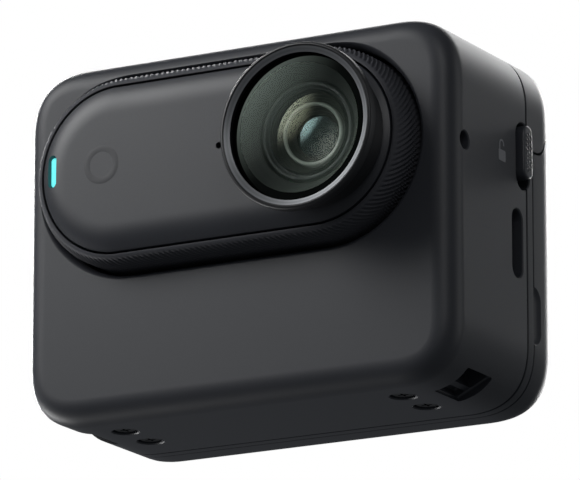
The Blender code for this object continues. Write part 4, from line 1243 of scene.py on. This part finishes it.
# The sensor's silicon: nearly black blue, mirror flat, with a faint 0.5 mm mosaic.
silicon = new_material("sensor_silicon")
position = node(silicon, "TexCoord").outputs["Object"]
mosaic = node(silicon, "TexVoronoi", {"Vector": position, "Scale": repeats(0.5 * MM)})
shade(silicon, mosaic.outputs["Distance"], ("#10182a", "#1d2c48"), (0.12,), {"IOR": 2.0})
finish_nodes(silicon, "image_sensor")

# ==================== The lens guard
# The guard is a turned aluminium ring that twists on to the collar. It carries a slightly crowned glass pane
# with a black border, over a cone that narrows to the barrel, dull black partly as painted shade.

guard_front = lens_low.y
guard_back = lens_high.y
RIM = 11.0 * MM
RIM_EDGE = 0.38 * MM
CONE_BACK = -21.6 * MM
CONE_THROAT = -22.3 * MM
CONE_FRONT = -23.9 * MM
SEAT_BACK = -24.1 * MM
LIP_INNER = 9.7 * MM
LIP_OUTER = 10.42 * MM
LIP_BACK = -25.26 * MM
guard_profile = [
    *arc((RIM - RIM_EDGE, guard_front + RIM_EDGE), (RIM_EDGE, -RIM_EDGE), 90, 0, 6),
    (RIM, guard_front + 1.3 * MM), (RIM - 0.06 * MM, guard_front + 1.42 * MM),
    (RIM - 0.5 * MM, guard_front + 1.9 * MM), (RIM - 0.9 * MM, guard_front + 2.5 * MM),
    (9.6 * MM, guard_front + 3.2 * MM), (9.4 * MM, guard_front + 3.7 * MM), (9.4 * MM, guard_back),
    (8.6 * MM, guard_back), (8.6 * MM, CONE_BACK), (6.75 * MM, CONE_BACK), (6.75 * MM, CONE_THROAT),
    (9.2 * MM, CONE_FRONT), (9.2 * MM, SEAT_BACK), (10.0 * MM, SEAT_BACK), (10.0 * MM, -24.95 * MM),
    (9.74 * MM, -25.0 * MM), (LIP_INNER, LIP_BACK), (LIP_OUTER, guard_front + 0.1 * MM),
]
guard_ring = turn("lens_guard_turning", "Y", lens_axis, guard_profile, steps=180, ring=True)
smooth(guard_ring, 22)
dress(guard_ring, anodised)

# The lip inside the rim is cut after the anodising, so it is bare bright metal, with tool lines drawn 0.5 mm
# apart.
cut_metal = lathe_turned("bright_cut_aluminium", 0.503 * MM, ("#7e8083", "#8e9093"), (0.4,),
                         {"Metallic": 0.8})
guard_ring.data.materials.append(cut_metal)

# The cone and its wall under the seat take the stop's dull black: partly real, partly painted shade for the
# rim's deep groove.
guard_ring.data.materials.append(dull_black_and_painted_shade)
for face in guard_ring.data.polygons:
    outward = math.hypot(face.center.x - lens_axis.x, face.center.z - lens_axis.z)
    if LIP_INNER < outward < LIP_OUTER and face.center.y < LIP_BACK + 0.06 * MM:
        face.material_index = 1
    # Faces of the cone and its wall under the seat: dull black that is partly painted shade.
    if outward < 9.3 * MM and SEAT_BACK - 0.1 * MM < face.center.y < CONE_BACK - 0.1 * MM:
        face.material_index = 2
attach(guard_ring, "lens_guard")
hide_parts("lens_guard_ring")

pane_low, pane_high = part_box("lens_guard_glass")
pane_radius = (pane_high.z - pane_low.z) / 2
BORDER = 1.25 * MM
PANE_CROWN = 0.45 * MM
pane_crown_radius = pane_radius ** 2 / (2 * PANE_CROWN)
pane_profile = [(pane_radius - BORDER, pane_high.y), (pane_radius, pane_high.y)]
for share in (1.0, 0.94, 1 - BORDER / pane_radius, 0.8, 0.72, 0.64, 0.56, 0.48, 0.4, 0.32, 0.24, 0.16, 0.08,
              0.0):
    reach = share * pane_radius
    pane_profile.append((reach, pane_low.y + reach ** 2 / (2 * pane_crown_radius)))
guard_glass = turn("lens_guard_pane", "Y", lens_axis, pane_profile, steps=150)
smooth(guard_glass, 20)

# Toughened glass with an anti-reflection coating: clear, and what it mirrors is greenish.
guard_pane = clear_glass("coated_toughened_glass", "#eef3ef", 1.5, "#b4c8bb", "#e4eae7")

# The border's ink lies behind the glass, so it is black under the same greenish gloss, with a 0.1 mm screen
# grain.
border_ink = grained("black_screen_printed_border", 0.1 * MM, 1.0, ("#050505", "#0a0a0a"), (0.04,),
                     {"IOR": 1.5, "Specular Tint": colour("#b4c8bb")})
guard_glass.data.materials.append(guard_pane)
guard_glass.data.materials.append(border_ink)
flat_axis = Vector((lens_axis.x, 0, lens_axis.z))
for face in guard_glass.data.polygons:
    outward = Vector((face.center.x, 0, face.center.z)) - flat_axis
    face.material_index = 1 if outward.length > 0.999 * (pane_radius - BORDER) else 0
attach(guard_glass, "lens_guard")
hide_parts("lens_guard_glass")

# ==================== The studio
# A pale floor well below the camera pod, white surroundings, and seven soft boxes: the key before the left
# side, others above and behind, and weak ones to the right, below and in front.

FLOOR_Z = -1.0
bpy.ops.mesh.primitive_plane_add(size=6, location=(0, 0, FLOOR_Z))
floor = settle("studio_floor")
paper = new_material("pale_studio_paper")
position = node(paper, "TexCoord").outputs["Object"]
fibres = node(paper, "TexNoise", {"Vector": position, "Scale": repeats(2 * MM), "Detail": 2.0})
tone = node(paper, "Mix", {0: fibres.outputs["Fac"], 6: colour("#eeeeec"), 7: colour("#f4f4f2")},
            data_type="RGBA")
shader = node(paper, "BsdfPrincipled", {
    "Base Color": tone.outputs[2], "Roughness": 0.8, "Emission Color": tone.outputs[2],
    "Emission Strength": 0.75})
node(paper, "OutputMaterial", {"Surface": shader.outputs["BSDF"]})
dress(floor, paper)

# The paper is only a backdrop: it throws no light on the pod.
for kind_of_ray in ("visible_diffuse", "visible_glossy", "visible_transmission"):
    setattr(floor, kind_of_ray, False)

world = bpy.data.worlds.new("white_studio")
bpy.context.scene.world = world
world.use_nodes = True
world.node_tree.nodes.clear()
seen = node(world, "Background", {"Color": (1, 1, 1, 1)})
fill = node(world, "Background", {"Color": (0.9, 0.95, 1, 1), "Strength": 0.085})
rays = node(world, "LightPath")
choice = node(world, "MixShader", {0: rays.outputs["Is Camera Ray"], 1: fill.outputs["Background"],
                                   2: seen.outputs["Background"]})
node(world, "OutputWorld", {"Surface": choice.outputs["Shader"]})

focus = Vector((0, 0, 25.0 * MM))


def soft_box(name, direction, distance, width, height, power):
    """A rectangular lamp that faces the pod from a direction."""
    place = focus + Vector(direction).normalized() * distance
    bpy.ops.object.light_add(type="AREA", location=place)
    lamp = bpy.context.object
    lamp.name = name
    lamp.data.shape = "RECTANGLE"
    lamp.data.size = width
    lamp.data.size_y = height
    lamp.data.energy = power
    lamp.rotation_mode = "QUATERNION"
    lamp.rotation_quaternion = (focus - place).to_track_quat("-Z", "Y")
    return lamp


key_lamp = soft_box("key_box", (-0.62, -0.58, 0.52), 0.34, 0.34, 0.34, 2.25)
soft_box("top_box", (-0.15, 0.8, 0.58), 0.5, 0.4, 0.2, 0.9)
soft_box("side_box", (0.85, 0.5, 0.25), 0.6, 0.25, 0.4, 0.22)
soft_box("rim_box", (-0.75, 0.6, 0.32), 0.5, 0.16, 0.3, 4.0)
soft_box("rear_box", (0.01, 0.96, 0.2), 0.5, 0.12, 0.3, 1.4)
soft_box("low_box", (-0.85, 0.1, -0.45), 0.35, 0.1, 0.2, 0.5)
soft_box("front_box", (0.5, -0.75, 0.42), 0.5, 0.16, 0.16, 0.22)

# The key box's cloth is brightest in its middle and fades to its edges, so glass mirrors it as a soft glow.
cloth = key_lamp.data
cloth.use_nodes = True
cloth.node_tree.nodes.clear()
across = node(cloth, "NewGeometry").outputs["Parametric"]
offset = node(cloth, "VectorMath", {0: across, 1: (0.5, 0.5, 0.0)}, operation="SUBTRACT")
reach = node(cloth, "VectorMath", {0: offset.outputs["Vector"]}, operation="LENGTH")
fade = node(cloth, "MapRange", {
    "Value": reach.outputs["Value"], "From Min": 0.08, "From Max": 0.5, "To Min": 1.0, "To Max": 0.0},
    interpolation_type="SMOOTHSTEP")
bulb = node(cloth, "Emission", {"Strength": fade.outputs["Result"]})
node(cloth, "OutputLight", {"Surface": bulb.outputs["Emission"]})

AZIMUTH = math.radians(29.19)
ELEVATION = math.radians(-14.71)
DISTANCE = 803 * MM
FOCAL_LENGTH = 379.7
backward = Vector((math.sin(AZIMUTH) * math.cos(ELEVATION), -math.cos(AZIMUTH) * math.cos(ELEVATION),
                   math.sin(ELEVATION)))
bpy.ops.object.camera_add(location=focus + backward * DISTANCE)
camera = bpy.context.object
camera.name = "studio_camera"
camera.rotation_mode = "QUATERNION"
camera.rotation_quaternion = (-backward).to_track_quat("-Z", "Y")
camera.data.sensor_width = 36
camera.data.lens = FOCAL_LENGTH
bpy.context.scene.camera = camera
bpy.context.scene.view_settings.view_transform = "Standard"
